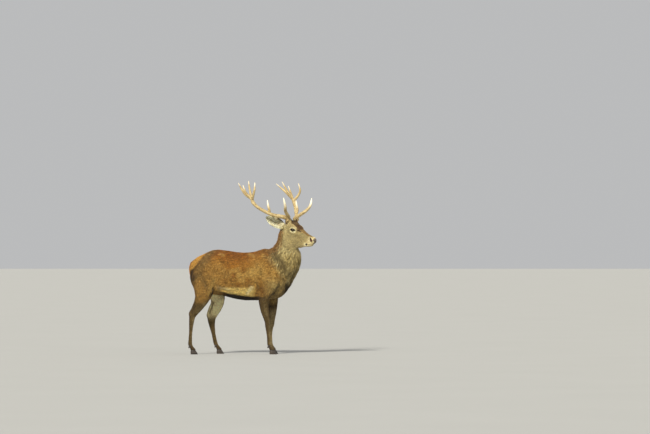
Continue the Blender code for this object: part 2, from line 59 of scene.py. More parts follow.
headTilt = {"yaw": -38, "pitch": 21}  # degrees: turned to the stag's right, nose low
headTurn = Matrix.Rotation(math.radians(headTilt["yaw"]), 3, "Z")
headTurn = headTurn @ Matrix.Rotation(math.radians(headTilt["pitch"]), 3, "Y")
eyeRise = 0.004  # the eyes' middle over the head's own origin
headMiddle = (middleOf("eye_right") + middleOf("eye_left")) / 2 - headTurn @ Vector((0, 0, eyeRise))
trunkLow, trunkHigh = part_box("trunk")
midY = (trunkLow.y + trunkHigh.y) / 2
fleshNodes = ["trunk", "neck", "head", "tail"]
fleshNodes += [f"{pair}_leg_{side}" for pair in ("fore", "hind") for side in hands]
earNodes = ["ear_right", "ear_left"]


def toHead(points):
    # forward, left and up from between the eyes
    return (points - np.array(headMiddle)) @ np.array(headTurn)


def fromHead(forward, left, up):
    return headMiddle + headTurn @ Vector((forward, left, up))


# small tools

def ramp(value, low, high):
    share = np.clip((value - low) / (high - low), 0, 1)
    return share * share * (3 - 2 * share)


def fall(value, low, high):
    return 1 - ramp(value, low, high)


def bell(value, middle, wide):
    return np.exp(-(((value - middle) / wide) ** 2))


def blend(first, second, share):
    share = np.asarray(share)[..., None]
    return first * (1 - share) + second * share


def paint(red, green, blue):
    # a display colour, 0 to 255, as light
    shown = np.array([red, green, blue]) / 255
    return np.where(shown < 0.04045, shown / 12.92, ((shown + 0.055) / 1.055) ** 2.4)


def unit(vectors):
    return vectors / np.maximum(np.linalg.norm(vectors, axis=-1, keepdims=True), 1e-9)


def alongSurface(vectors, normals):
    return unit(vectors - normals * np.sum(vectors * normals, axis=1, keepdims=True))


def softNoise(points, grain, seed=0):
    # smooth lattice noise, -1 to 1; grain is its size in metres
    at = points / grain + seed * 17.37
    cell = np.floor(at).astype(np.int64)
    inside = at - cell
    inside = inside * inside * (3 - 2 * inside)
    total = np.zeros(len(points))
    for corner in itertools.product((0, 1), repeat=3):
        spot = cell + corner
        mixed = (spot[:, 0] * 73856093) ^ (spot[:, 1] * 19349663) ^ (spot[:, 2] * 83492791)
        mixed = (mixed * 2654435761 + (mixed >> 7) * 40503) & 0xFFFFFF
        share = np.prod(np.where(corner, inside, 1 - inside), axis=1)
        total += (mixed / 8388607.5 - 1) * share
    return total


def segmentDistance(points, start, end):
    start, end = np.array(start), np.array(end)
    line = end - start
    share = np.clip((points - start) @ line / (line @ line), 0, 1)
    return np.linalg.norm(points - (start + share[:, None] * line), axis=1), share


def linkObject(name, mesh):
    made = bpy.data.objects.new(name, mesh)
    bpy.context.scene.collection.objects.link(made)
    return made


def smoothShaded(mesh):
    mesh.polygons.foreach_set("use_smooth", np.ones(len(mesh.polygons), bool))
    return mesh


def fromBmesh(name, bm):
    mesh = bpy.data.meshes.new(name)
    bm.to_mesh(mesh)
    bm.free()
    return linkObject(name, smoothShaded(mesh))


def fused(obj, grain):
    # the forms within a piece made into one, by voxels of this size
    fuse = obj.modifiers.new("fuse", "REMESH")
    fuse.mode = "VOXEL"
    fuse.voxel_size = grain
    return applyModifiers(obj)


def applyModifiers(obj):
    graph = bpy.context.evaluated_depsgraph_get()
    mesh = bpy.data.meshes.new_from_object(obj.evaluated_get(graph))
    obj.modifiers.clear()
    before = obj.data
    obj.data = mesh
    bpy.data.meshes.remove(before)
    return obj


def readRows(rows, key, width, kind=np.float32):
    values = np.empty(len(rows) * width, kind)
    rows.foreach_get(key, values)
    return values.reshape(-1, width)


def meshPoints(mesh):
    return readRows(mesh.vertices, "co", 3).astype(float)


def setPoints(mesh, points):
    mesh.vertices.foreach_set("co", points.astype(np.float32).ravel())
    mesh.update()


def meshNormals(mesh):
    return readRows(mesh.vertex_normals, "vector", 3).astype(float)


def meshTriangles(mesh):
    mesh.calc_loop_triangles()
    return readRows(mesh.loop_triangles, "vertices", 3, np.int32)


class Net:
    # the links between a mesh's points, for smoothing values over it
    def __init__(self, mesh):
        ends = readRows(mesh.edges, "vertices", 2, np.int32)
        self.here = np.concatenate([ends[:, 0], ends[:, 1]])
        self.there = np.concatenate([ends[:, 1], ends[:, 0]])
        self.size = len(mesh.vertices)
        self.links = np.maximum(np.bincount(self.here, minlength=self.size), 1)[:, None]

    def mean(self, values):
        columns = [
            np.bincount(self.here, values[self.there, k], self.size) for k in range(values.shape[1])
        ]
        return np.stack(columns, axis=1) / self.links

    def soften(self, values, rounds):
        for _ in range(rounds):
            values = (values + self.mean(values)) / 2
        return values

    def polish(self, points, rounds):
        # smooths a shape without shrinking it
        for _ in range(rounds):
            for push in (0.55, -0.57):
                points = points + push * (self.mean(points) - points)
        return points


def sweepTube(bm, points, radii, segments, closed=False):
    # a round form along a path, its rings turned as little as the path lets them
    points = [Vector(p) for p in points]
    last = len(points) - 1
    rings = []
    side = None
    for i, point in enumerate(points):
        if closed:
            ahead = (points[(i + 1) % len(points)] - points[i - 1]).normalized()
        else:
            ahead = (points[min(i + 1, last)] - points[max(i - 1, 0)]).normalized()
        if side is None:
            side = ahead.orthogonal().normalized()
        else:
            side.rotate(before.rotation_difference(ahead))
        before = ahead
        capped = not closed and i in (0, last)
        ring = bmesh.ops.create_circle(bm, cap_ends=capped, segments=segments, radius=radii[i])["verts"]
        turned = Matrix((side, ahead.cross(side), ahead)).transposed().to_4x4()
        bmesh.ops.transform(bm, matrix=Matrix.Translation(point) @ turned, verts=ring)
        rings.append({e for v in ring for e in v.link_edges})
    pairs = list(zip(rings, rings[1:]))
    if closed:
        pairs.append((rings[-1], rings[0]))
    for a, b in pairs:
        bmesh.ops.bridge_loops(bm, edges=list(a | b))


def easedPath(rows, steps):
    # points on a smooth curve through the rows
    rows = [np.array(row, float) for row in rows]
    made = []
    for i in range(len(rows) - 1):
        a, b, c, d = (rows[min(max(j, 0), len(rows) - 1)] for j in (i - 1, i, i + 1, i + 2))
        for k in range(steps):
            t = k / steps
            bend = (2 * a - 5 * b + 4 * c - d) * t**2
            twist = (3 * b - a - 3 * c + d) * t**3
            made.append(b + 0.5 * ((c - a) * t + bend + twist))
    return np.array(made + [rows[-1]])


def colourLayer(mesh, name, colours):
    layer = mesh.color_attributes.new(name, "FLOAT_COLOR", "POINT")
    full = np.ones((len(colours), 4), np.float32)
    full[:, :3] = colours
    layer.data.foreach_set("color", full.ravel())


def valueLayer(mesh, name, values):
    layer = mesh.attributes.new(name, "FLOAT", "POINT")
    layer.data.foreach_set("value", np.asarray(values, np.float32))


# the skin: the flesh fused into one form

skinPlan = {
    "voxel": 0.0031,  # grain of the fused form
    "polishRounds": 26,
    "triangles": 188000,
    "eyeFineness": 0.046,  # how far round each eye the skin is cut finer
    "noseFineness": 0.060,
    "noseSpot": (0.270, 0, -0.045),
}
earPlan = {
    "seat": (-0.110, 0.068, -0.006),
    "length": 0.243,
    "halfWidth": 0.057,
    "cup": 0.031,
    "wall": 0.0052,
    "right": ((-0.810, 0.536, 0.190), (0.70, 0.67, 0.08)),
    "left": ((-0.860, 0.500, 0.050), (0.60, 0.74, 0.05)),
    # share of the length, width, depth of the cup, how hollow the open side is
    "rings": (
        (0.00, 0.42, 0.74, -0.80),
        (0.12, 0.64, 0.88, -0.50),
        (0.26, 0.88, 1.00, 0.20),
        (0.42, 1.00, 1.00, 0.62),
        (0.60, 1.00, 0.90, 0.70),
        (0.78, 0.82, 0.70, 0.66),
        (0.91, 0.48, 0.45, 0.50),
        (1.00, 0.08, 0.20, 0.20),
    ),
}


def earAxes(side):
    # pointing, across, facing: where the ear points, its width and its open side, in the stag's axes
    mirror = Vector((1, hands[side], 1))
    pointing, opening = (Vector(v) * mirror for v in earPlan[side])
    pointing.normalize()
    across = pointing.cross(opening).normalized()
    facing = across.cross(pointing).normalized()
    seat = headMiddle + headTurn @ (Vector(earPlan["seat"]) * mirror)
    return seat, headTurn @ pointing, headTurn @ across, headTurn @ facing


def addEar(bm, side):
    seat, pointing, across, facing = earAxes(side)
    rows = easedPath(earPlan["rings"], 4)
    rings = []
    for i, (share, wide, deep, hollow) in enumerate(rows):
        atEnd = i in (0, len(rows) - 1)
        ring = bmesh.ops.create_circle(bm, cap_ends=atEnd, segments=30, radius=1)["verts"]
        for v in ring:
            bulge = deep * earPlan["cup"] * math.sqrt(max(0.0, 1 - v.co.x**2))
            level = (-hollow if v.co.y > 0 else -1) * bulge + math.copysign(earPlan["wall"] / 2, v.co.y)
            place = seat + pointing * share * earPlan["length"] + facing * level
            v.co = place + across * v.co.x * wide * earPlan["halfWidth"]
        rings.append({e for v in ring for e in v.link_edges})
    for a, b in zip(rings, rings[1:]):
        bmesh.ops.bridge_loops(bm, edges=list(a | b))


def fuseFlesh():
    bm = bmesh.new()
    for name in fleshNodes + ["eye_right", "eye_left"]:
        bm.from_mesh(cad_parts[name].data)
    bmesh.ops.remove_doubles(bm, verts=bm.verts, dist=0.00002)
    for side in hands:
        addEar(bm, side)
    bmesh.ops.recalc_face_normals(bm, faces=bm.faces)
    return fused(fromBmesh("stag_skin", bm), skinPlan["voxel"])


def cutFiner(form):
    # finer faces round the eyes, the nose and the mouth
    bm = bmesh.new()
    bm.from_mesh(form.data)
    for spots, reach in (
        ([eyeAxes(side)[0] for side in hands], skinPlan["eyeFineness"]),
        ([fromHead(*skinPlan["noseSpot"])], skinPlan["noseFineness"]),
        ([eyeAxes(side)[0] for side in hands], skinPlan["eyeFineness"] * 0.62),
    ):
        edges = [e for e in bm.edges if any((e.verts[0].co - spot).length < reach for spot in spots)]
        bmesh.ops.subdivide_edges(bm, edges=edges, cuts=1, use_grid_fill=True)
    bm.to_mesh(form.data)
    bm.free()


# the eyes' places and lids

eyePlan = {
    "radius": 0.0184,
    "outward": (0.30, 1.0, 0.12),  # where the eye looks, in the head's axes, left side
    "slitTilt": 15,  # degrees the slit's front corner stands over the head's own line
    "slitHalf": 0.0172,
    "lidUp": 0.0104,
    "lidDown": 0.0082,
    "lidThick": 0.0024,
    "lidReach": 3.6,  # how far out the lids' shape fades, in widths of the opening
    "lidFull": 2.2,
    "sunk": 0.0045,  # how far the skin lies under the eyeball within the opening
    "creaseUp": 0.0024,
    "creaseDown": 0.0014,
    "creaseAt": (1.84, 0.20),
    "reach": 0.045,
}


def eyeAxes(side):
    # centre, along the slit, over it, outward
    hand = hands[side]
    outward = (headTurn @ (Vector(eyePlan["outward"]) * Vector((1, hand, 1)))).normalized()
    tilt = math.radians(eyePlan["slitTilt"])
    slit = headTurn @ Vector((math.cos(tilt), 0, math.sin(tilt)))
    slit = (slit - outward * slit.dot(outward)).normalized()
    over = outward.cross(slit)
    if over.dot(headTurn @ Vector((0, 0, 1))) < 0:
        over = -over
    return middleOf(f"eye_{side}"), slit, over, outward


def slitMeasure(points, side):
    # 1 on the rim of the lids, less inside the opening; and the way out from the eye's centre
    centre, slit, over, outward = (np.array(v) for v in eyeAxes(side))
    reach = points - centre
    away = np.linalg.norm(reach, axis=1)
    ahead = reach / np.maximum(away, 1e-6)[:, None]
    along = ahead @ slit * eyePlan["radius"]
    height = ahead @ over * eyePlan["radius"]
    tall = np.where(height > 0, eyePlan["lidUp"], eyePlan["lidDown"])
    measure = np.abs(height) / tall + (along / eyePlan["slitHalf"]) ** 2
    measure = np.where(ahead @ outward > 0.05, measure, 9)
    return measure, ahead, away, height, along


def shapeLids(points):
    for side in hands:
        measure, ahead, away, height, _ = slitMeasure(points, side)
        near = (away < eyePlan["reach"]) & (measure < eyePlan["lidReach"])
        radius = eyePlan["radius"]
        lid = radius + eyePlan["lidThick"] * (1 - 0.25 * ramp(measure, 1.1, 2.2))
        creaseAt, creaseWide = eyePlan["creaseAt"]
        crease = np.where(height > 0, eyePlan["creaseUp"], eyePlan["creaseDown"])
        lid = lid - crease * bell(measure, creaseAt, creaseWide)
        sunk = radius - eyePlan["sunk"]
        target = sunk + (lid - sunk) * ramp(measure, 0.88, 1.06)
        share = fall(measure, eyePlan["lidFull"], eyePlan["lidReach"]) * near
        moved = away + (target - away) * share
        centre = np.array(eyeAxes(side)[0])
        points = np.where(near[:, None], centre + ahead * moved[:, None], points)
    return points


# muscle and bone under the coat

bodyForms = {
    # from, to (x from the chest's front edge back, height), half width, height of the form
    "shoulderBlade": ((-0.235, 1.110), (-0.100, 0.880), 0.026, 0.0085),
    "behindBlade": ((-0.300, 1.060), (-0.225, 0.860), 0.036, -0.0075),
    "beforeBlade": ((-0.150, 1.080), (-0.055, 0.930), 0.026, -0.0065),
    "upperArm": ((-0.215, 0.850), (-0.120, 0.790), 0.058, 0.0120),
    "armCrease": ((-0.235, 0.745), (-0.130, 0.720), 0.016, -0.0055),
    "behindArm": ((-0.335, 0.930), (-0.322, 0.690), 0.032, -0.0105),
    "elbow": ((-0.272, 0.700), (-0.262, 0.655), 0.026, 0.0085),
    "hip": ((-0.865, 1.085), (-0.845, 1.070), 0.036, 0.0095),
    "flankHollow": ((-0.800, 1.010), (-0.765, 0.920), 0.062, -0.0120),
    "lastRib": ((-0.690, 1.030), (-0.600, 0.800), 0.032, 0.0065),
    "haunch": ((-0.960, 0.990), (-0.930, 0.860), 0.085, 0.0120),
    "haunchGroove": ((-1.010, 0.900), (-0.925, 0.735), 0.022, -0.0085),
    "rearThigh": ((-1.075, 0.860), (-1.010, 0.720), 0.040, 0.0060),
    "thighFront": ((-0.870, 0.900), (-0.880, 0.740), 0.032, 0.0085),
    "stifle": ((-0.850, 0.735), (-0.870, 0.690), 0.036, 0.0080),
    "flankFold": ((-0.835, 0.810), (-0.720, 0.750), 0.020, 0.0075),
}


legForms = {
    # side, from, to (x from the rump's rear edge forward, height), half width, height of the form
    "tendonGroove": (-1, (0.016, 0.485), (0.096, 0.620), 0.0110, -0.0052),
    "farTendonGroove": (1, (0.210, 0.470), (0.258, 0.600), 0.0110, -0.0052),
    "shin": (-1, (0.050, 0.470), (0.150, 0.640), 0.0130, 0.0030),
    "farShin": (1, (0.250, 0.460), (0.330, 0.620), 0.0130, 0.0030),
    "hock": (-1, (0.000, 0.455), (0.014, 0.440), 0.0140, 0.0032),
    "farHock": (1, (0.196, 0.436), (0.208, 0.424), 0.0140, 0.0032),
    "cannonGroove": (-1, (0.010, 0.375), (0.000, 0.150), 0.0060, -0.0030),
    "farCannonGroove": (1, (0.224, 0.385), (0.267, 0.145), 0.0060, -0.0030),
    "foreCannonGroove": (-1, (0.862, 0.335), (0.882, 0.140), 0.0060, -0.0030),
    "knee": (-1, (0.880, 0.395), (0.884, 0.365), 0.0150, 0.0026),
}
ribPlan = {"apart": 0.052, "lean": 0.22, "height": 0.0018}


def shapeBody(points, normals, share):
    fromChest = points[:, [0, 2]] - (trunkHigh.x, 0)
    fromRump = points[:, [0, 2]] - (trunkLow.x, 0)
    facingSide = ramp(np.abs(normals[:, 1]), 0.25, 0.75)
    onTrunk = ramp(share["trunk"] + share["legs"] + 0.6 * share["neck"], 0.2, 0.9)
    push = np.zeros(len(points))
    for start, end, wide, height in bodyForms.values():
        apart, _ = segmentDistance(fromChest, start, end)
        push += height * bell(apart, 0, wide)
    for hand, start, end, wide, height in legForms.values():
        apart, _ = segmentDistance(fromRump, start, end)
        thisSide = hand * (points[:, 1] - midY) > 0
        push += height * bell(apart, 0, wide) * share["legs"] * thisSide
    back, high = fromChest.T
    ribs = np.sin((back + ribPlan["lean"] * high) * 2 * math.pi / ribPlan["apart"])
    ribMask = ramp(back, -0.72, -0.60) * fall(back, -0.36, -0.30)
    ribMask = ribMask * ramp(high, 0.74, 0.82) * fall(high, 0.98, 1.06)
    push += ribPlan["height"] * ribs * ribMask
    return points + normals * (push * facingSide * onTrunk)[:, None]


# muscle, bone and folds of the face

noseForms = {
    # forward, aside, up
    "nostrilSlit": ((0.2530, 0.0395, -0.0030), (0.2710, 0.0355, -0.0215)),
    "nostrilFacing": (0.62, 0.78, 0.06),
    "nostrilWidth": (0.0056, 0.0100),  # half, at its upper and at its lower end
    # forward and up, seen from the side
    "mouth": ((0.212, -0.0905), (0.236, -0.0850), (0.262, -0.0765), (0.285, -0.0685), (0.315, -0.0615)),
    "gland": ((0.055, 0.0180), (0.076, 0.0225), (0.099, 0.0200)),
}
mouthCorner = np.array([0.213, -0.0905])
faceForms = {
    # from, to (forward, aside, up), half width, height of the form
    "cheekMuscle": ((-0.030, 0.055, -0.050), (-0.010, 0.050, -0.110), 0.030, 0.0045),
    "cheekEdge": ((0.045, 0.060, -0.030), (0.060, 0.045, -0.095), 0.013, -0.0028),
    "cheekbone": ((0.030, 0.066, -0.020), (0.150, 0.040, -0.022), 0.011, 0.0032),
    "besideNose": ((0.050, 0.056, 0.006), (0.190, 0.036, -0.002), 0.012, -0.0026),
    "noseEdge": ((0.060, 0.030, 0.046), (0.210, 0.022, 0.020), 0.011, 0.0018),
    "temple": ((-0.062, 0.066, 0.016), (-0.048, 0.068, 0.000), 0.014, -0.0040),
    "brow": ((-0.022, 0.070, 0.030), (0.034, 0.064, 0.030), 0.010, 0.0034),
    "jawEdge": ((0.120, 0.030, -0.140), (0.010, 0.040, -0.182), 0.012, 0.0022),
    "upperLip": ((0.215, 0.037, -0.030), (0.262, 0.038, -0.042), 0.016, 0.0026),
}


def folded(points, side):
    # the head's own coordinates with this side's aside made positive
    local = toHead(points)
    local[:, 1] *= hands[side]
    return local


def lineDistance(local, path):
    # from the side: how far from a line of forward and up
    flat = local[:, [0, 2]]
    best = np.full(len(local), 9.0)
    for start, end in zip(path, path[1:]):
        apart, _ = segmentDistance(flat, start, end)
        best = np.minimum(best, apart)
    return best


def nostrilDistance(local):
    # how far from the nostril's slit as seen from straight before it, and the way along it
    facing = unit(np.array([noseForms["nostrilFacing"]]))[0]

    def seen(spots):
        return spots - np.outer(spots @ facing, facing)

    start, end = seen(np.array(noseForms["nostrilSlit"]))
    apart, way = segmentDistance(seen(local), start, end)
    here = (local[:, 0] > 0.225) & (local[:, 1] > 0.006)
    return np.where(here, apart, 1.0), way


def nostrilWidth(way):
    narrow, wide = noseForms["nostrilWidth"]
    return narrow + (wide - narrow) * way


def shapeFace(points, normals, share):
    onHead = ramp(share["head"], 0.5, 0.9)
    for side in hands:
        local = folded(points, side)
        here = onHead * ramp(local[:, 1], -0.004, 0.004)
        push = np.zeros(len(points))
        for start, end, wide, height in faceForms.values():
            apart, _ = segmentDistance(local, start, end)
            push += height * bell(apart, 0, wide)
        # the tear gland's slit
        apart = lineDistance(local, noseForms["gland"])
        push += 0.0024 * bell(apart, 0.0070, 0.004) - 0.0060 * bell(apart, 0, 0.0034)
        # lips that meet in a fine line, fuller over and under it; the lower one is set back
        apart = lineDistance(local, noseForms["mouth"])
        full = ramp(local[:, 0], 0.214, 0.236)
        push += 0.0022 * full * bell(apart, 0.0075, 0.0045)
        push -= (0.0036 + 0.0026 * full) * bell(apart, 0, 0.0027)
        beneath = np.interp(local[:, 0], *np.array(noseForms["mouth"]).T) - local[:, 2]
        chinBack = ramp(beneath, 0.001, 0.007) * fall(beneath, 0.030, 0.045)
        push -= 0.0026 * chinBack * ramp(local[:, 0], 0.225, 0.250)
        # nostril with its raised wing
        apart, way = nostrilDistance(local)
        wideness = nostrilWidth(way)
        rim = bell(apart, wideness * 1.25, 0.0034)
        push += 0.0024 * rim - 0.0140 * fall(apart, wideness * 0.30, wideness * 1.04)
        points = points + normals * (push * here)[:, None]
    # the shallow groove between the nostrils
    local = toHead(points)
    dip = bell(local[:, 1], 0, 0.0022) * ramp(local[:, 0], 0.292, 0.300) * ramp(local[:, 2], -0.056, -0.046)
    return points - normals * (0.0022 * dip * onHead)[:, None]


# regions of the coat

regions = ["trunk", "neck", "head", "legs", "tail", "ears"]
coatPlan = {
    # length, width and thickness of a tuft, how far its tip stands off for its length,
    # spacing, coat's depth, how much its direction wanders
    "trunk": (0.036, 0.0060, 0.0008, 0.13, 0.0055, 0.0070, 0.24),
    "neck": (0.054, 0.0054, 0.0009, 0.19, 0.0055, 0.0115, 0.42),
    "head": (0.0130, 0.0028, 0.0004, 0.10, 0.0029, 0.0018, 0.16),
    "legs": (0.0165, 0.0034, 0.0005, 0.10, 0.0036, 0.0014, 0.14),
    "tail": (0.042, 0.0052, 0.0009, 0.18, 0.0050, 0.0070, 0.16),
    "ears": (0.0140, 0.0030, 0.0005, 0.11, 0.0036, 0.0010, 0.14),
}
planColumns = ["length", "width", "thick", "lift", "spacing", "depth", "wander"]


def regionOf(node):
    if "leg" in node:
        return "legs"
    return "ears" if node.startswith("ear") else node


borderPlan = {
    # x before the fore leg's middle, and height, of the line where neck meets trunk
    "neckSeat": (0.093, 1.030),
    "neckLean": -36,
    "neckFade": (-0.070, 0.050),
    # the head's rear edge at the ear's root, and how far it moves forward going down
    "headBack": (-0.112, 0.42),
    "headFade": (-0.040, 0.030),
    "throatFade": (-0.222, -0.182),
    "legFade": (-0.075, 0.065),
}


def neckWayOf(points):
    # how far a point lies on the neck's side of the line where neck meets trunk
    low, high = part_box("fore_leg_right")
    seat = np.array([(low.x + high.x) / 2 + borderPlan["neckSeat"][0], borderPlan["neckSeat"][1]])
    lean = math.radians(borderPlan["neckLean"])
    ahead = np.array([math.cos(lean), -math.sin(lean)])
    return (points[:, [0, 2]] - seat) @ ahead


def headWayOf(points):
    local = toHead(points)
    back, slope = borderPlan["headBack"]
    return local[:, 0] - back - slope * np.clip(-local[:, 2], 0, 0.2)


def legColumn(points, name):
    # 1 in line with a leg's top, 0 away from it
    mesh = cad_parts[name].data
    spots = meshPoints(mesh)
    top = spots[:, 2].max()
    ring = spots[spots[:, 2] > top - 0.03]
    low, high = ring.min(axis=0), ring.max(axis=0)
    middle, half = (low + high) / 2, (high - low) / 2
    away = (points[:, :2] - middle[:2]) / (half[:2] + (0.02, 0.05))
    away = np.hypot(away[:, 0], away[:, 1])
    rise = points[:, 2] + 0.018 * softNoise(points, 0.05, 9) - top
    fade = fall(rise, *borderPlan["legFade"])
    return np.where(rise < borderPlan["legFade"][0], 1.0, fall(away, 0.85, 1.40)) * fade


def regionShares(points, net):
    # how much of each region every point of the skin belongs to, soft at the borders
    verts, faces, owner = [], [], []
    for name in fleshNodes + earNodes:
        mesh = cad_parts[name].data
        offset = len(verts)
        verts += [v.co.copy() for v in mesh.vertices]
        faces += [[offset + i for i in p.vertices] for p in mesh.polygons]
        owner += [regions.index(regionOf(name))] * len(mesh.polygons)
    tree = BVHTree.FromPolygons(verts, faces)
    label = np.array([owner[tree.find_nearest(Vector(p))[2]] for p in points])
    soft = net.soften(np.eye(len(regions))[label], 30)
    soft = {name: soft[:, k] for k, name in enumerate(regions)}
    made = {"tail": soft["tail"], "ears": soft["ears"]}
    rest = 1 - soft["tail"] - soft["ears"]
    legs = np.zeros(len(points))
    for pair in ("fore", "hind"):
        for side in hands:
            legs = np.maximum(legs, legColumn(points, f"{pair}_leg_{side}"))
    made["legs"] = legs * rest * (points[:, 2] < 0.75)
    rest = rest - made["legs"]
    bent = 0.022 * softNoise(points, 0.11, 10)
    made["head"] = rest * ramp(headWayOf(points) + 0.5 * bent, *borderPlan["headFade"])
    made["head"] = made["head"] * ramp(toHead(points)[:, 2] + 0.4 * bent, *borderPlan["throatFade"])
    rest = rest - made["head"]
    made["neck"] = rest * ramp(neckWayOf(points) + bent, *borderPlan["neckFade"])
    made["trunk"] = rest - made["neck"]
    return made


def planValues(share, column):
    k = planColumns.index(column)
    return sum(share[name] * coatPlan[name][k] for name in regions)


# the lie of the coat

def earSpread(points, side):
    # share of the ear's length, place across it and over its middle surface
    seat, pointing, across, facing = (np.array(v) for v in earAxes(side))
    reach = points - seat
    return reach @ pointing / earPlan["length"], reach @ across / earPlan["halfWidth"], reach @ facing


def nearestEar(points):
    apart = [np.linalg.norm(points - np.array(middleOf(f"ear_{side}")), axis=1) for side in hands]
    return np.argmin(apart, axis=0)


def earFacing(points):
    facing = np.array([np.array(earAxes(side)[3]) for side in hands])
    return facing[nearestEar(points)]


def coatFlow(points, normals, share, net):
    sideways = np.abs(normals[:, 1])
    back = points[:, 0] - trunkLow.x
    high = points[:, 2]
    one = np.ones(len(points))

    def flow(x, y, z):
        return np.stack([x * one, y * one, z * one], axis=1)

    trunk = flow(-1, 0, -0.18 - 0.60 * sideways)
    thigh = fall(back, 0.22, 0.42) * fall(high, 0.95, 1.10)
    trunk = blend(trunk, flow(-0.28, 0, -1), thigh)
    trunk = blend(trunk, flow(-0.55, 0, -0.75), ramp(back, 0.80, 0.98))
    trunk = blend(trunk, flow(-0.25, 0, -1), ramp(back, 0.78, 0.90) * fall(high, 0.72, 0.90))
    neck = flow(-0.42, 0, -1)
    turn = np.array(headTurn)
    head = np.stack([-one, 0.0 * one, -0.16 * one], axis=1) @ turn.T
    local = toHead(points)
    crown = ramp(local[:, 2], 0.045, 0.075) * fall(local[:, 0], 0.00, 0.06)
    head = blend(head, np.stack([-one, 0.25 * np.sign(local[:, 1]), 0.5 * one], axis=1) @ turn.T, crown)
    legs = flow(-0.05, 0, -1)
    tail = flow(-0.20, 0, -1)
    ears = np.array([np.array(earAxes(side)[1]) for side in hands])[nearestEar(points)]
    made = np.zeros((len(points), 3))
    for name, way in zip(regions, (trunk, neck, head, legs, tail, ears)):
        made += unit(way) * share[name][:, None]
    made = alongSurface(made, normals)
    for _ in range(6):
        made = alongSurface(net.soften(made, 4), normals)
    return made


# the coat's markings

paints = {
    "backRust": paint(132, 80, 24),
    "rust": paint(152, 102, 36),
    "flank": paint(152, 113, 50),
    "gold": paint(180, 145, 76),
    "lowFlank": paint(216, 184, 106),
    "cream": paint(234, 216, 164),
    # near-black: the dark belly hair, also used as painted shade
    "darkBellyAndShade": paint(34, 23, 12),
    "thigh": paint(165, 125, 61),
    "haunch": paint(126, 98, 52),
    "rumpPatch": paint(202, 150, 68),
    "rumpEdge": paint(50, 34, 20),
    "neck": paint(166, 146, 91),
    "neckDark": paint(104, 88, 54),
    "neckPale": paint(196, 180, 128),
    "nape": paint(126, 86, 40),
    "leg": paint(98, 78, 42),
    "legDark": paint(62, 46, 28),
    "legGrey": paint(172, 154, 110),
    "legInner": paint(248, 228, 172),
    "face": paint(170, 153, 104),
    "crown": paint(84, 58, 32),
    "temple": paint(196, 174, 122),
    "bridge": paint(130, 100, 54),
    "ring": paint(244, 228, 176),
    "muzzle": paint(228, 208, 156),
    "nose": paint(48, 36, 30),
    "noseHighlightGrey": paint(124, 110, 96),
    "dark": paint(26, 17, 13),
    "nostril": paint(94, 36, 30),
    "earBack": paint(128, 106, 62),
    "earInner": paint(248, 236, 194),
    "earStreak": paint(138, 110, 66),
    "tail": paint(180, 122, 52),
}


trunkLong = trunkHigh.x - trunkLow.x
sideMarks = {
    # from, to (x from the rump's rear edge, height), half width
    "groinStreak": ((0.305, 0.762), (0.345, 0.748), 0.014),
    "bandStreak": ((0.345, 0.750), (0.450, 0.732), 0.009),
    "elbowWedge": ((0.654, 0.684), (0.700, 0.758), 0.016),
    "haunchGroove": ((0.120, 0.905), (0.205, 0.735), 0.026),
    "thighPale": ((0.275, 0.850), (0.222, 0.690), 0.024),
    "armCrease": ((trunkLong - 0.335, 0.860), (trunkLong - 0.318, 0.690), 0.024),
    "haunchEdge": ((0.200, 1.100), (0.075, 0.900), 0.060),
    "rumpEdge": ((0.158, 1.107), (0.024, 0.950), 0.016),
}
faceMarks = {
    # sizes are half lengths and half heights along and over the eye's slit
    "ring": (0.054, 0.037),
    "ringAhead": 0.003,
    "lid": (0.0330, 0.0176, 0.0150),  # length, height over and under the slit
    "bareLid": (0.0225, 0.0134, 0.0110),
    "frontCorner": ((0.0310, -0.0018), (0.0085, 0.0056)),  # place and size
    "rearCorner": ((-0.0290, 0.0005), (0.0075, 0.0052)),
    "eyeFade": (0.050, 0.060),  # how far from the eye's centre its marks end
    # from, to (forward, aside, up), half width
    "cheekShade": ((0.070, 0.050, -0.045), (0.130, 0.040, -0.070), 0.022),
}


def mark(tint, name, share):
    return blend(tint, paints[name], share)


def sideLine(points, name, waver=0):
    # 1 on a line seen from the side, fading over its half width
    start, end, wide = sideMarks[name]
    apart, _ = segmentDistance(points[:, [0, 2]] - (trunkLow.x, 0), start, end)
    return bell(apart + waver, 0, wide)


def slant(points, name):
    # signed distance in x from such a line
    start, end, _ = sideMarks[name]
    share = (points[:, 2] - start[1]) / (end[1] - start[1])
    return points[:, 0] - trunkLow.x - (start[0] + share * (end[0] - start[0]))


def readPlace(points):
    # x from the rump's rear edge, height, distance from the mid-plane, and three grains of noise
    wide = softNoise(points, 0.16, 1)
    mid = softNoise(points, 0.055, 2)
    fine = softNoise(points * (0.6, 1, 1.5), 0.016, 3)
    return points[:, 0] - trunkLow.x, points[:, 2], np.abs(points[:, 1] - midY), wide, mid, fine


def inwardness(points, normals, low, high):
    return ramp(-np.sign(points[:, 1] - midY) * normals[:, 1], low, high)


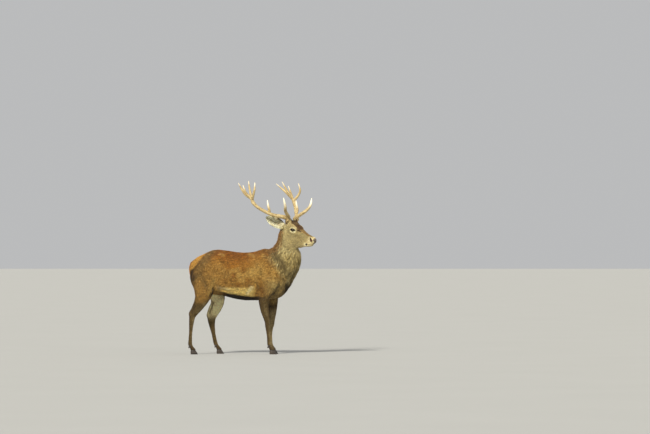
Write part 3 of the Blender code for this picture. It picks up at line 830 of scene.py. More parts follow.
def trunkTint(points, normals, place):
    # rust along the back, tan down the flank, a pale band over a dark belly
    back, high, aside, wide, mid, fine = place
    tint = mark(paints["backRust"], "rust", ramp(1.150 - high + 0.05 * wide, 0.0, 0.12))
    tint = mark(tint, "flank", ramp(1.04 - high + 0.09 * mid + 0.06 * wide, 0.0, 0.16) * 0.9)
    tint = mark(tint, "gold", 0.55 * ramp(mid + 0.5 * wide + 0.4 * fine, 0.25, 1.0))
    tint = mark(tint, "backRust", 0.50 * ramp(-mid + 0.4 * wide + 0.5 * fine, 0.30, 1.1))
    tint = mark(tint, "gold", 0.75 * bell(back, 0.80, 0.10) * bell(high, 0.93, 0.16))
    bandTop = 0.748 + 0.46 * (back - 0.54) ** 2 + 0.008 * wide + 0.010 * mid + 0.008 * fine
    band = fall(high - bandTop, -0.016, 0.020)
    band = band * ramp(back + 0.01 * mid, 0.270, 0.310) * fall(back + 0.012 * mid, 0.712, 0.752)
    tint = mark(tint, "lowFlank", band)
    streak = sideLine(points, "groinStreak", 0.004 * fine)
    streak = np.maximum(streak, 0.7 * sideLine(points, "bandStreak", 0.005 * fine))
    streak = np.maximum(streak, 0.9 * sideLine(points, "elbowWedge", 0.007 * fine + 0.004 * mid))
    tint = mark(tint, "cream", 0.88 * streak)
    # near-black underside: partly the stag's dark belly hair, partly painted shade under the belly
    bellyLine = trunkLow.z + 0.055 - 0.15 * np.clip(back - 0.34, 0, 0.36) + 0.006 * mid
    under = fall(high - bellyLine, 0.038, 0.058) * ramp(back, 0.26, 0.34)
    tint = mark(tint, "darkBellyAndShade", under * fall(back, 0.84, 0.94))
    # the haunch and the thigh
    tint = mark(tint, "thigh", 0.8 * fall(back, 0.30, 0.44) * fall(high, 0.98, 1.12))
    rearHaunch = bell(slant(points, "haunchEdge") + 0.02 * mid, 0, sideMarks["haunchEdge"][2])
    tint = mark(tint, "haunch", 0.85 * rearHaunch * ramp(high, 0.70, 0.86))
    # painted shade along the groove behind the haunch
    tint = mark(tint, "haunch", 0.75 * sideLine(points, "haunchGroove") * ramp(aside, 0.05, 0.09))
    tint = mark(tint, "gold", 0.75 * sideLine(points, "thighPale") * ramp(aside, 0.05, 0.09))
    # the shoulder and the chest, dark low in front, with painted shade on the chest's lower front
    shoulder = ramp(back, 0.80, 0.96) * fall(high + 0.04 * mid, 0.78, 0.92)
    tint = mark(tint, "neck", 0.72 * shoulder)
    brisket = ramp(back, 0.72, 0.82) * fall(high + 0.03 * mid, 0.66, 0.76)
    tint = mark(tint, "haunch", 0.40 * brisket)
    # painted shade: the lower chest darker where it faces forward, near-black at its front edge
    tint = mark(tint, "neckDark", 0.6 * ramp(normals[:, 0], 0.45, 0.90) * fall(high, 0.80, 0.92))
    chestFrontShade = ramp(normals[:, 0] + 0.08 * mid, 0.25, 0.85) * ramp(high, 0.62, 0.68)
    tint = mark(tint, "darkBellyAndShade", 0.93 * chestFrontShade * fall(high + 0.02 * mid, 0.74, 0.86))
    # painted shade in the crease behind the upper arm
    tint = mark(tint, "backRust", 0.32 * sideLine(points, "armCrease"))
    inner = inwardness(points, normals, 0.2, 0.7) * fall(high, 0.74, 0.80)
    tint = mark(tint, "cream", inner * fall(back, 0.36, 0.50) * 0.9)
    # the pale patch round the tail with its dark edge
    edge = slant(points, "rumpEdge") + 0.010 * mid + 0.004 * fine
    patch = fall(edge, -0.016, 0.012) * ramp(high, 0.90, 0.965)
    line = bell(edge, 0.014, sideMarks["rumpEdge"][2]) * ramp(high, 0.80, 0.88) * fall(high, 1.00, 1.12)
    rear = fall(back + 0.014 * mid + 0.008 * fine, 0.016, 0.086) * ramp(high, 0.77, 0.86)
    rear = rear * fall(high + 0.010 * mid, 0.930, 0.985)
    rear = np.maximum(rear, 0.55 * ramp(-normals[:, 0], 0.55, 0.95) * fall(high, 0.80, 0.90))
    tint = mark(tint, "rumpPatch", patch)
    tint = mark(tint, "rumpEdge", np.clip(0.6 * line + 0.9 * rear, 0, 1) * 0.9)
    # a dark stripe along the spine
    spine = bell(aside, 0, 0.020) * ramp(normals[:, 2], 0.6, 0.95) * ramp(back, 0.20, 0.30)
    return mark(tint, "haunch", 0.5 * spine)


def neckTint(points, normals, place):
    # grey-brown in dark and pale locks, paler up at the throat, dark low in front with painted shade where it
    # faces forward, rusty along the nape
    back, high, _, wide, mid, _ = place
    way = neckWayOf(points)
    locks = softNoise(points * (1, 1, 0.45), 0.021, 12) + 0.5 * softNoise(points, 0.009, 13)
    tint = mark(paints["neck"], "neckPale", 0.75 * ramp(high + 0.03 * wide, 1.08, 1.22))
    low = fall(high + 0.07 * wide, 0.90, 1.12) * ramp(back, 0.93, 1.10)
    tint = mark(tint, "neckDark", 0.66 * low)
    behind = bell(way - 0.02 * mid, 0.055, 0.050) * ramp(high, 0.92, 1.02)
    behind = behind * fall(normals[:, 2], 0.35, 0.80) * fall(high, 1.20, 1.32)
    tint = mark(tint, "neckDark", 0.85 * behind)
    # the front-facing neck a little darker: partly its darker hair, partly painted shade
    front = ramp(normals[:, 0], 0.25, 0.85) * fall(high, 1.12, 1.22)
    tint = mark(tint, "neckDark", 0.26 * front)
    nape = ramp(-normals[:, 0] + 0.5 * normals[:, 2], 0.50, 0.92)
    nape = np.maximum(nape, ramp(normals[:, 2], 0.40, 0.78) * fall(way + 0.02 * mid, 0.05, 0.13))
    tint = mark(tint, "nape", nape * 0.9)
    # painted shade, near-black, on the front of the lower chest
    chestFrontShade = ramp(normals[:, 0] + 0.08 * mid, 0.25, 0.85) * fall(high + 0.02 * mid, 0.76, 0.88)
    tint = mark(tint, "darkBellyAndShade", 0.80 * chestFrontShade)
    tint = mark(tint, "neckDark", 0.80 * ramp(-locks, 0.10, 0.80) * (1 - nape))
    return mark(tint, "neckPale", 0.70 * ramp(locks, 0.20, 0.90) * (1 - nape))


def legTint(points, normals, place):
    # dark brown, greyer in front, partly as painted highlight, and on the inner sides; cream high inside the
    # hind legs, partly as painted light; painted shade high between the fore legs
    back, high, _, wide, mid, fine = place
    foreLeg = ramp(back, 0.60, 0.70)
    tint = mark(paints["haunch"], "leg", fall(high + 0.03 * wide, 0.54, 0.74))
    # the front-facing cannons paler: partly their greyer hair, partly painted highlight
    tint = mark(tint, "legGrey", 0.45 * ramp(normals[:, 0], 0.25, 0.8) * fall(high, 0.36, 0.44))
    shin = bell(normals[:, 0], 0.35, 0.30) * inwardness(points, -normals, 0.2, 0.8)
    tint = mark(tint, "legGrey", 0.35 * shin * ramp(mid + 0.4 * fine, -0.5, 0.6))
    inward = inwardness(points, normals, 0.1, 0.7)
    hind = inward * (1 - foreLeg)
    overHock = ramp(high + 0.03 * mid, 0.34, 0.46)
    # pale inner hind legs: partly their pale hair, partly painted light lifting the shade on the far hind leg
    tint = mark(tint, "legInner", 0.92 * hind * overHock)
    tint = mark(tint, "leg", 0.75 * hind * (1 - overHock))
    foreTop = ramp(high, 0.46, 0.56)
    tint = mark(tint, "legGrey", inward * 0.40 * foreLeg * (1 - foreTop))
    # painted shade high on the fore legs' inner sides, between the legs
    tint = mark(tint, "rumpEdge", inward * 0.65 * foreLeg * foreTop)
    tint = mark(tint, "cream", 0.95 * hind * ramp(high, 0.54, 0.61))
    tint = mark(tint, "legDark", 0.7 * ramp(-normals[:, 0], 0.3, 0.8))
    tint = mark(tint, "legDark", 0.7 * fall(high, 0.06, 0.12))
    return mark(tint, "legDark", 0.4 * bell(high, 0.37, 0.05) * foreLeg * ramp(normals[:, 0], 0.2, 0.7))


def coatTint(points, normals, share):
    place = readPlace(points)
    _, _, aside, wide, mid, fine = place
    made = {
        "trunk": trunkTint(points, normals, place),
        "neck": neckTint(points, normals, place),
        "legs": legTint(points, normals, place),
        "tail": mark(paints["tail"], "rumpEdge", 0.45 * ramp(normals[:, 2] - 3.2 * (aside - 0.01), 0.2, 0.9)),
        "head": headTint(points, normals),
        "ears": earTint(points, normals),
    }
    tint = sum(made[name] * share[name][:, None] for name in made)
    grain = softNoise(points * (0.8, 1, 1.3), 0.010, 15)
    furry = share["trunk"] + share["legs"] + 0.6 * share["neck"]
    dappled = 1 + 0.07 * wide + 0.10 * mid + 0.15 * fine + 0.22 * grain * furry
    return np.clip(tint * dappled[:, None], 0.004, 0.95)


def eyePlane(points, side):
    # distances along and over the slit, and from the eye's centre
    _, _, away, height, along = slitMeasure(points, side)
    return along * away / eyePlan["radius"], height * away / eyePlan["radius"], away


def lidOval(along, height, name):
    long, over, beneath = faceMarks[name]
    return np.hypot(along / long, height / np.where(height > 0, over, beneath))


def cornerOval(along, height, name):
    place, size = faceMarks[name]
    return np.hypot((along - place[0]) / size[0], (height - place[1]) / size[1])


def headTint(points, normals):
    local = toHead(points)
    forward, aside, up = local[:, 0], np.abs(local[:, 1]), local[:, 2]
    facing = normals @ np.array(headTurn)
    mid = softNoise(points, 0.030, 4)
    fine = softNoise(points, 0.010, 5)
    streaks = softNoise(local * (0.45, 1, 1.1), 0.012, 14)
    tint = paints["face"] * (1 + 0.10 * mid + 0.08 * fine + 0.16 * streaks)[:, None]
    bridge = ramp(facing[:, 2], 0.30, 0.80) * ramp(forward, 0.02, 0.07) * fall(forward, 0.225, 0.262)
    tint = mark(tint, "bridge", bridge * 0.85)
    # pale temples and pedicles round a dark crown
    temple = ramp(aside + 0.25 * up, 0.060, 0.074) * ramp(up, 0.012, 0.030)
    temple = temple * fall(forward, 0.030, 0.060)
    pedicle = ramp(up, 0.070, 0.095) * fall(forward, -0.075, -0.055) * ramp(aside, 0.028, 0.045)
    tint = mark(tint, "temple", np.maximum(temple, pedicle) * 0.9)
    crown = ramp(up + 0.18 * forward + 0.008 * mid, 0.030, 0.046)
    crown = crown * fall(forward + 0.012 * mid, 0.070, 0.105)
    crown = crown * fall(aside + 0.006 * mid, 0.048, 0.062)
    crown = crown * ramp(forward + 0.3 * aside, -0.075, -0.050)
    between = ramp(up, 0.060, 0.080) * fall(aside, 0.012, 0.026) * fall(forward, -0.08, -0.04)
    tint = mark(tint, "crown", np.clip(0.95 * crown * (1 + 0.25 * streaks) + 0.6 * between, 0, 1))
    tint = mark(tint, "nape", ramp(-forward, 0.11, 0.15) * ramp(up, -0.03, 0.03) * 0.8)
    behindCheek = ramp(-forward, 0.040, 0.085) * ramp(aside, 0.050, 0.064)
    behindCheek = behindCheek * fall(up, 0.045, 0.075) * ramp(up, -0.07, -0.02)
    tint = mark(tint, "neckPale", behindCheek * 0.8)
    start, end, wide = faceMarks["cheekShade"]
    apart, _ = segmentDistance(np.stack([forward, aside, up], axis=1), start, end)
    tint = mark(tint, "haunch", 0.20 * bell(apart, 0, wide))
    for side in hands:
        along, height, away = eyePlane(points, side)
        near = fall(away, *faceMarks["eyeFade"])
        ringLong, ringTall = faceMarks["ring"]
        ring = np.hypot((along - faceMarks["ringAhead"]) / ringLong, height / ringTall)
        ring = fall(ring + 0.05 * mid, 0.72, 1.08) * (1 - 0.65 * ramp(-along, 0.016, 0.040))
        tint = mark(tint, "ring", 0.94 * ring * near)
        oval = lidOval(along, height, "lid")
        for corner in ("frontCorner", "rearCorner"):
            oval = np.minimum(oval, cornerOval(along, height, corner))
        tint = mark(tint, "dark", 0.96 * fall(oval, 0.80, 1.12) * near)
    for side in hands:
        sided = folded(points, side)
        onSide = ramp(sided[:, 1], 0.015, 0.030)
        apart = lineDistance(sided, noseForms["gland"])
        tint = mark(tint, "bridge", 0.45 * fall(apart, 0.008, 0.020) * onSide)
        tint = mark(tint, "dark", 0.86 * fall(apart, 0.0032, 0.0070) * onSide)
    # muzzle, chin and lower jaw
    muzzle = ramp(forward - 0.25 * up + 0.006 * mid, 0.205, 0.250)
    muzzle = muzzle * (1 - 0.7 * ramp(up, 0.004, 0.016) * fall(forward, 0.255, 0.275))
    tint = mark(tint, "muzzle", muzzle)
    tint = mark(tint, "ring", 0.75 * ramp(-up, 0.070, 0.082) * ramp(forward, 0.160, 0.200))
    tint = mark(tint, "muzzle", 0.8 * ramp(-facing[:, 2], 0.45, 0.85) * ramp(forward, 0.02, 0.06))
    # the mouth's corner and line painted dark: painted shade in the crease, with the lips' dark edge
    for side in hands:
        sided = folded(points, side)
        onSide = ramp(sided[:, 1], 0.004, 0.012)
        corner = np.linalg.norm(sided[:, [0, 2]] - mouthCorner, axis=1)
        tint = mark(tint, "dark", 0.95 * fall(corner + 0.002 * mid, 0.0100, 0.0170) * onSide)
        onSide = np.maximum(onSide, ramp(forward, 0.272, 0.285))
        apart = lineDistance(sided, noseForms["mouth"])
        tint = mark(tint, "dark", 0.95 * fall(apart, 0.0020, 0.0048) * onSide)
    pad = nosePad(local)
    tint = mark(tint, "nose", pad)
    # painted highlight: the nose pad paler on its forward-facing upper part
    padHighlight = fall(np.abs(facing[:, 1]), 0.30, 0.75) * ramp(up + 0.004 * mid, -0.046, -0.024)
    tint = mark(tint, "noseHighlightGrey", pad * padHighlight * 0.85)
    for side in hands:
        apart, way = nostrilDistance(folded(points, side))
        apart = apart / nostrilWidth(way)
        tint = mark(tint, "nose", fall(apart, 1.20, 1.75))
        tint = mark(tint, "nostril", fall(apart, 0.45, 1.05) * ramp(way + 0.1 * fine, 0.20, 0.60))
    return tint


def nosePad(local):
    # the bare pad between and over the nostrils, down to the lip
    forward, aside, up = local[:, 0], np.abs(local[:, 1]), local[:, 2]
    oval = np.hypot(aside / 0.0310, (up + 0.013 + 0.5 * (0.29 - forward)) / 0.0285)
    top = ramp(forward + 0.45 * up, 0.266, 0.273)
    top = top * fall(oval + 0.04 * softNoise(local, 0.008, 16), 0.84, 1.04)
    front = ramp(forward, 0.286, 0.292) * fall(aside, 0.010, 0.017) * ramp(up, -0.060, -0.054)
    return np.clip(top + front, 0, 1)


def earTint(points, normals):
    along, across, upper = np.zeros((3, len(points)))
    pick = nearestEar(points)
    for k, side in enumerate(hands):
        here = pick == k
        along[here], across[here], _ = earSpread(points[here], side)
        upper[here] = across[here] * (1 if earAxes(side)[2].z > 0 else -1)
    inside = ramp(np.sum(normals * earFacing(points), axis=1), 0.0, 0.35)
    mid = softNoise(points, 0.022, 6)
    outer = mark(paints["neckPale"], "earBack", ramp(along, 0.10, 0.35))
    outer = mark(outer, "crown", 0.75 * ramp(upper, 0.35, 0.8) * ramp(along, 0.15, 0.35))
    outer = mark(outer, "dark", 0.8 * ramp(along + 0.05 * mid, 0.88, 0.97))
    streaks = ramp(np.sin(across * 9 + 2.4 * mid + along * 4), 0.45, 0.95) * ramp(along, 0.34, 0.50)
    streaks = streaks * fall(along, 0.80, 0.92) * fall(np.abs(across), 0.55, 0.85)
    inner = mark(paints["earInner"], "earStreak", streaks * (0.62 - 0.30 * ramp(upper, -0.1, 0.4)))
    # painted shade deep in the ear's cup
    deep = fall(np.abs(across), 0.10, 0.45) * ramp(along, 0.12, 0.25) * fall(along, 0.35, 0.55)
    inner = mark(inner, "earStreak", 0.35 * deep)
    # the inner upper edge darker: partly dark hair, partly painted shadow of the antler
    edge = ramp(upper, 0.50, 0.85) * ramp(along, 0.08, 0.20) * fall(along, 0.46, 0.62)
    return blend(outer, mark(inner, "crown", 0.8 * edge), inside)


def bareness(points, share):
    # nose, lips, lid rims and the slit of the tear gland carry no coat
    bare = nosePad(toHead(points))
    for side in hands:
        along, height, away = eyePlane(points, side)
        sided = folded(points, side)
        apart, way = nostrilDistance(sided)
        onLips = np.maximum(ramp(sided[:, 1], 0.004, 0.012), ramp(sided[:, 0], 0.272, 0.285))
        onSide = ramp(sided[:, 1], 0.015, 0.030)
        for spot in (
            fall(lidOval(along, height, "bareLid"), 0.86, 1.0) * (away < 0.05),
            fall(apart / nostrilWidth(way), 1.10, 1.40),
            fall(lineDistance(sided, noseForms["mouth"]), 0.0028, 0.0055) * onLips,
            fall(lineDistance(sided, noseForms["gland"]), 0.0028, 0.0060) * onSide,
        ):
            bare = np.maximum(bare, spot)
    return bare * ramp(share["head"], 0.5, 0.9)


# finishes

finishPlan = {
    # tone: how fine the patches and the specks are, and how strong each is
    # gloss: roughness where a mask is 0 and where it is 1; bump: strength and height
    # lie: how finely the strands run across a tuft and along it
    "coat": {
        "lie": (13.0, 0.55, 1.0),
        "tone": (0.31, 1.0, 0.25),
        "bump": (0.75, 0.0007),
        "sheen": (0.04, 0.45),
        "specular": 0.22,
    },
    "skin": {"tone": (45, 520, 0.22, 0.5), "gloss": (0.82, 0.36), "bump": (0.45, 0.0008), "specular": 0.3},
    "pores": {"fineness": 620, "bump": (0.6, 0.0012)},
    "antler": {"tone": (30, 380, 0.45, 0.3), "gloss": (0.55, 0.30), "bump": (0.4, 0.0010), "specular": 0.45},
    "horn": {"tone": (60, 500, 0.5, 0.4), "gloss": (0.32, 0.6), "bump": (0.5, 0.0016), "specular": 0.5},
    "hornRings": {"fineness": 9, "squash": (1.2, 1.2, 26.0), "dark": 0.30, "pale": 0.72},
    "eye": {"tone": (160, 900, 0.5, 0.5), "roughness": 0.05, "bending": 1.38, "specular": 0.42},
    "lidRim": {"tone": (120, 800, 0.5, 0.5), "bump": (0.3, 0.0004), "roughness": 0.45, "specular": 0.30},
}
finishPaints = {
    "antlerRidge": paint(206, 185, 134),
    "antlerSide": paint(170, 146, 96),
    "antlerGroove": paint(94, 68, 38),
    "antlerIvory": paint(250, 240, 212),
    "hornDark": paint(38, 32, 29),
    "hornPale": paint(74, 64, 54),
    "lidRim": paint(24, 16, 13),
}


def shaderGroup(name, inputs, outputs):
    tree = bpy.data.node_groups.new(name, "ShaderNodeTree")
    for label, kind in inputs:
        tree.interface.new_socket(label, in_out="INPUT", socket_type="NodeSocket" + kind)
    for label, kind in outputs:
        tree.interface.new_socket(label, in_out="OUTPUT", socket_type="NodeSocket" + kind)
    return tree, tree.nodes.new("NodeGroupInput"), tree.nodes.new("NodeGroupOutput")


def addNode(tree, kind, values=(), **settings):
    node = tree.nodes.new("ShaderNode" + kind)
    for key, value in settings.items():
        setattr(node, key, value)
    for key, value in dict(values).items():
        node.inputs[key].default_value = value
    return node


toneScales = ["Patch Scale", "Speck Scale", "Patch Share", "Speck Share"]


def makeUnevenTone():
    # a colour made lighter and darker in soft patches and fine specks
    inputs = [("Color", "Color"), ("Vector", "Vector")] + [(label, "Float") for label in toneScales]
    tree, start, end = shaderGroup("unevenTone", inputs, [("Color", "Color"), ("Height", "Float")])
    link = tree.links.new
    patches = addNode(tree, "TexNoise", {"Detail": 3, "Roughness": 0.55})
    specks = addNode(tree, "TexNoise", {"Detail": 2, "Roughness": 0.6})
    link(start.outputs["Vector"], patches.inputs["Vector"])
    link(start.outputs["Vector"], specks.inputs["Vector"])
    link(start.outputs["Patch Scale"], patches.inputs["Scale"])
    link(start.outputs["Speck Scale"], specks.inputs["Scale"])
    gains = []
    for noise, share in ((patches, "Patch Share"), (specks, "Speck Share")):
        centred = addNode(tree, "Math", {1: 0.5}, operation="SUBTRACT")
        link(noise.outputs["Fac"], centred.inputs[0])
        scaled = addNode(tree, "Math", {2: 1.0}, operation="MULTIPLY_ADD")
        link(centred.outputs[0], scaled.inputs[0])
        link(start.outputs[share], scaled.inputs[1])
        gains.append(scaled)
    both = addNode(tree, "Math", operation="MULTIPLY")
    link(gains[0].outputs[0], both.inputs[0])
    link(gains[1].outputs[0], both.inputs[1])
    scaledTone = addNode(tree, "VectorMath", operation="SCALE")
    link(start.outputs["Color"], scaledTone.inputs[0])
    link(both.outputs[0], scaledTone.inputs["Scale"])
    link(scaledTone.outputs[0], end.inputs["Color"])
    link(specks.outputs["Fac"], end.inputs["Height"])
    return tree


unevenTone = makeUnevenTone()


def newFinish(name, **values):
    made = bpy.data.materials.new(name)
    made.use_nodes = True
    shader = made.node_tree.nodes["Principled BSDF"]
    for label, value in values.items():
        shader.inputs[label.replace("_", " ")].default_value = value
    return made, made.node_tree, shader


def placeTone(tree, colour, vector, *scales):
    group = tree.nodes.new("ShaderNodeGroup")
    group.node_tree = unevenTone
    tree.links.new(colour, group.inputs["Color"])
    tree.links.new(vector, group.inputs["Vector"])
    for label, value in zip(toneScales, scales):
        group.inputs[label].default_value = value
    return group


def objectPlace(tree):
    return addNode(tree, "TexCoord").outputs["Object"]


def placeGloss(tree, shader, value, low, high):
    gloss = addNode(tree, "MapRange", {"To Min": low, "To Max": high})
    tree.links.new(value, gloss.inputs["Value"])
    tree.links.new(gloss.outputs["Result"], shader.inputs["Roughness"])


def colourStops(tree, value, *stops):
    # a colour ramp of (place, colour) stops
    made = addNode(tree, "ValToRGB")
    ends = made.color_ramp.elements
    for k, (place, colour) in enumerate(stops):
        stop = ends[(0, -1)[k]] if k < 2 else ends.new(place)
        stop.position, stop.color = place, (*colour, 1)
    tree.links.new(value, made.inputs["Fac"])
    return made.outputs["Color"]


def readLayer(tree, name):
    return addNode(tree, "Attribute", attribute_type="GEOMETRY", attribute_name=name)


def placeBump(tree, shader, height, strength, distance, under=None):
    bump = addNode(tree, "Bump", {"Strength": strength, "Distance": distance})
    tree.links.new(height, bump.inputs["Height"])
    if under is not None:
        tree.links.new(under.outputs["Normal"], bump.inputs["Normal"])
    tree.links.new(bump.outputs["Normal"], shader.inputs["Normal"])
    return bump


def makeCoatFinish(name, roughness, strandShare):
    plan = finishPlan["coat"]
    sheen, soft = plan["sheen"]
    gloss = {"Sheen_Weight": sheen, "Sheen_Roughness": soft, "Specular_IOR_Level": plan["specular"]}
    made, tree, shader = newFinish(name, Roughness=roughness, **gloss)
    tint = readLayer(tree, "coat")
    lie = addNode(tree, "UVMap", uv_map="lie")
    stretch = addNode(tree, "Mapping", {"Scale": plan["lie"]})
    tree.links.new(lie.outputs["UV"], stretch.inputs["Vector"])
    tone = placeTone(tree, tint.outputs["Color"], stretch.outputs["Vector"], *plan["tone"], strandShare)
    tree.links.new(tone.outputs["Color"], shader.inputs["Base Color"])
    placeBump(tree, shader, tone.outputs["Height"], *plan["bump"])
    return made


def makeSkinFinish():
    plan, pore = finishPlan["skin"], finishPlan["pores"]
    made, tree, shader = newFinish("skin", Specular_IOR_Level=plan["specular"])
    place = objectPlace(tree)
    tone = placeTone(tree, readLayer(tree, "coat").outputs["Color"], place, *plan["tone"])
    tree.links.new(tone.outputs["Color"], shader.inputs["Base Color"])
    bare = readLayer(tree, "bare").outputs["Fac"]
    placeGloss(tree, shader, bare, *plan["gloss"])
    pores = addNode(tree, "TexVoronoi", {"Scale": pore["fineness"]})
    tree.links.new(place, pores.inputs["Vector"])
    pored = addNode(tree, "Math", operation="MULTIPLY")
    tree.links.new(pores.outputs["Distance"], pored.inputs[0])
    tree.links.new(bare, pored.inputs[1])
    grain = placeBump(tree, shader, tone.outputs["Height"], *plan["bump"])
    placeBump(tree, shader, pored.outputs[0], *pore["bump"], grain)
    return made


def makeAntlerFinish():
    plan = finishPlan["antler"]
    made, tree, shader = newFinish("antler", Specular_IOR_Level=plan["specular"])
    ivory = readLayer(tree, "ivory").outputs["Fac"]
    groove = readLayer(tree, "groove").outputs["Fac"]
    bone = colourStops(
        tree, groove, (0.0, finishPaints["antlerRidge"]), (1.0, finishPaints["antlerGroove"]),
        (0.5, finishPaints["antlerSide"]),
    )
    tipped = addNode(tree, "Mix", data_type="RGBA")
    colours = [socket for socket in tipped.inputs if socket.type == "RGBA"]
    colours[1].default_value = (*finishPaints["antlerIvory"], 1)
    tree.links.new(ivory, tipped.inputs[0])
    tree.links.new(bone, colours[0])
    mixed = [socket for socket in tipped.outputs if socket.type == "RGBA"][0]
    tone = placeTone(tree, mixed, objectPlace(tree), *plan["tone"])
    tree.links.new(tone.outputs["Color"], shader.inputs["Base Color"])
    placeGloss(tree, shader, ivory, *plan["gloss"])
    placeBump(tree, shader, tone.outputs["Height"], *plan["bump"])
    return made


def makeHornFinish():
    plan, ring = finishPlan["horn"], finishPlan["hornRings"]
    made, tree, shader = newFinish("horn", Specular_IOR_Level=plan["specular"])
    place = objectPlace(tree)
    squash = addNode(tree, "Mapping", {"Scale": ring["squash"]})
    rings = addNode(tree, "TexNoise", {"Scale": ring["fineness"], "Detail": 3})
    tree.links.new(place, squash.inputs["Vector"])
    tree.links.new(squash.outputs["Vector"], rings.inputs["Vector"])
    ringed = rings.outputs["Fac"]
    stops = [(ring["dark"], finishPaints["hornDark"]), (ring["pale"], finishPaints["hornPale"])]
    tone = placeTone(tree, colourStops(tree, ringed, *stops), place, *plan["tone"])
    tree.links.new(tone.outputs["Color"], shader.inputs["Base Color"])
    placeGloss(tree, shader, ringed, *plan["gloss"])
    placeBump(tree, shader, ringed, *plan["bump"])
    return made


def makeEyeFinish():
    plan = finishPlan["eye"]
    gloss = {"Roughness": plan["roughness"], "IOR": plan["bending"], "Specular_IOR_Level": plan["specular"]}
    made, tree, shader = newFinish("eye", **gloss)
    tone = placeTone(tree, readLayer(tree, "coat").outputs["Color"], objectPlace(tree), *plan["tone"])
    tree.links.new(tone.outputs["Color"], shader.inputs["Base Color"])
    return made


def plainTone(tree, shader, colour, *scales):
    # one colour, uneven all over
    plain = addNode(tree, "RGB")
    plain.outputs[0].default_value = (*colour, 1)
    tone = placeTone(tree, plain.outputs[0], objectPlace(tree), *scales)
    tree.links.new(tone.outputs["Color"], shader.inputs["Base Color"])
    return tone


def makeLidFinish():
    plan = finishPlan["lidRim"]
    made, tree, shader = newFinish("lidRim", Roughness=plan["roughness"], Specular_IOR_Level=plan["specular"])
    tone = plainTone(tree, shader, finishPaints["lidRim"], *plan["tone"])
    placeBump(tree, shader, tone.outputs["Height"], *plan["bump"])
    return made


# making the skin

flesh = fuseFlesh()
print("flesh fused:", len(flesh.data.polygons), "faces")
net = Net(flesh.data)
setPoints(flesh.data, net.polish(meshPoints(flesh.data), skinPlan["polishRounds"]))
cutFiner(flesh)
net = Net(flesh.data)
share = regionShares(meshPoints(flesh.data), net)
print("regions found")


def reshape(step, *more):
    setPoints(flesh.data, step(meshPoints(flesh.data), *more))


reshape(lambda points: points - meshNormals(flesh.data) * planValues(share, "depth")[:, None])
reshape(lambda points: shapeBody(points, meshNormals(flesh.data), share))
reshape(lambda points: shapeFace(points, meshNormals(flesh.data), share))
reshape(shapeLids)
skinPoints = meshPoints(flesh.data)
skinNormals = meshNormals(flesh.data)
flow = coatFlow(skinPoints, skinNormals, share, net)
bare = bareness(skinPoints, share)
skinTree = BVHTree.FromPolygons(skinPoints.tolist(), meshTriangles(flesh.data).tolist())
print("skin shaped:", len(skinPoints), "points")


# the coat

tuftPlan = {
    # painted shade on the skin under the coat
    "underCoatShade": 0.70,
    "rootTone": 0.66,
    "tipTone": 1.16,
    "unevenness": 0.25,  # how much single tufts differ in tone
    "neckUnevenness": 0.34,
    "patch": 0.003,  # a tuft's width on the map it is baked to
    "lockSize": 0.030,  # locks of the neck, whose tufts draw together
    "lockPull": 0.35,
    "girth": (0.34, 0.50, 0.36),  # half width at the root and at the bends, for the tuft's width
    # for each ring of a tuft, the share of its length and of how far its tip stands off
    "rises": ((0.42, 0.75), (0.74, 1.0), (1.0, 0.95)),
    "bareFrom": 0.62,
    # how much longer, for its region's length, a tuft is in each of these places
    "longer": {"ears": 0.9, "muzzle": -0.28, "eye": -0.32, "crown": 1.3, "foot": -0.48, "throat": 0.35},
    "pedicle": (-0.098, 0.062, 0.090),  # in the head's axes, left side
    "pedicleFade": (0.040, 0.085),
    "pedicleLength": 0.010,
    "footTop": (0.10, 0.30),
    "footFiner": 0.20,
    "footNarrower": 0.25,
}


def atFoot(points):
    return fall(points[:, 2], *tuftPlan["footTop"])


def pickRoots():
    faces = meshTriangles(flesh.data)
    corners = skinPoints[faces]
    area = np.linalg.norm(np.cross(corners[:, 1] - corners[:, 0], corners[:, 2] - corners[:, 0]), axis=1) / 2
    middles = corners.mean(axis=1)
    spacing = planValues(share, "spacing")[faces].mean(axis=1)
    spacing = spacing * (1 - tuftPlan["footFiner"] * atFoot(middles))
    wanted = area / spacing**2 * (bare[faces].mean(axis=1) < tuftPlan["bareFrom"])
    cell = np.floor(middles / 0.012).astype(int)
    order = np.lexsort((middles[:, 0], cell[:, 0], cell[:, 1], cell[:, 2]))
    total = np.cumsum(wanted[order])
    marks = np.arange(0.5, total[-1], 1.0)
    chosen = order[np.searchsorted(total, marks)]
    weights = dice.random((len(chosen), 2))
    past = weights.sum(axis=1) > 1
    weights[past] = 1 - weights[past]
    weights = np.column_stack([weights, 1 - weights.sum(axis=1)])
    return faces[chosen], weights


rootFaces, rootWeights = pickRoots()


def atRoots(values):
    picked = values[rootFaces]
    return np.einsum("ij...,ij->i...", picked, rootWeights)


roots = atRoots(skinPoints)
rootNormals = unit(atRoots(skinNormals))
rootFlow = alongSurface(atRoots(flow), rootNormals)
rootShare = {name: atRoots(share[name]) for name in regions}
print("tufts:", len(roots))


def onSkin(points):
    # nearest places on the skin, and the way out there
    places, outward = np.empty_like(points), np.empty_like(points)
    for i, point in enumerate(points):
        place, normal, _, _ = skinTree.find_nearest(point)
        places[i] = place
        outward[i] = normal
    return places, outward


def turned(vectors, normals, angles):
    return vectors * np.cos(angles)[:, None] + np.cross(normals, vectors) * np.sin(angles)[:, None]


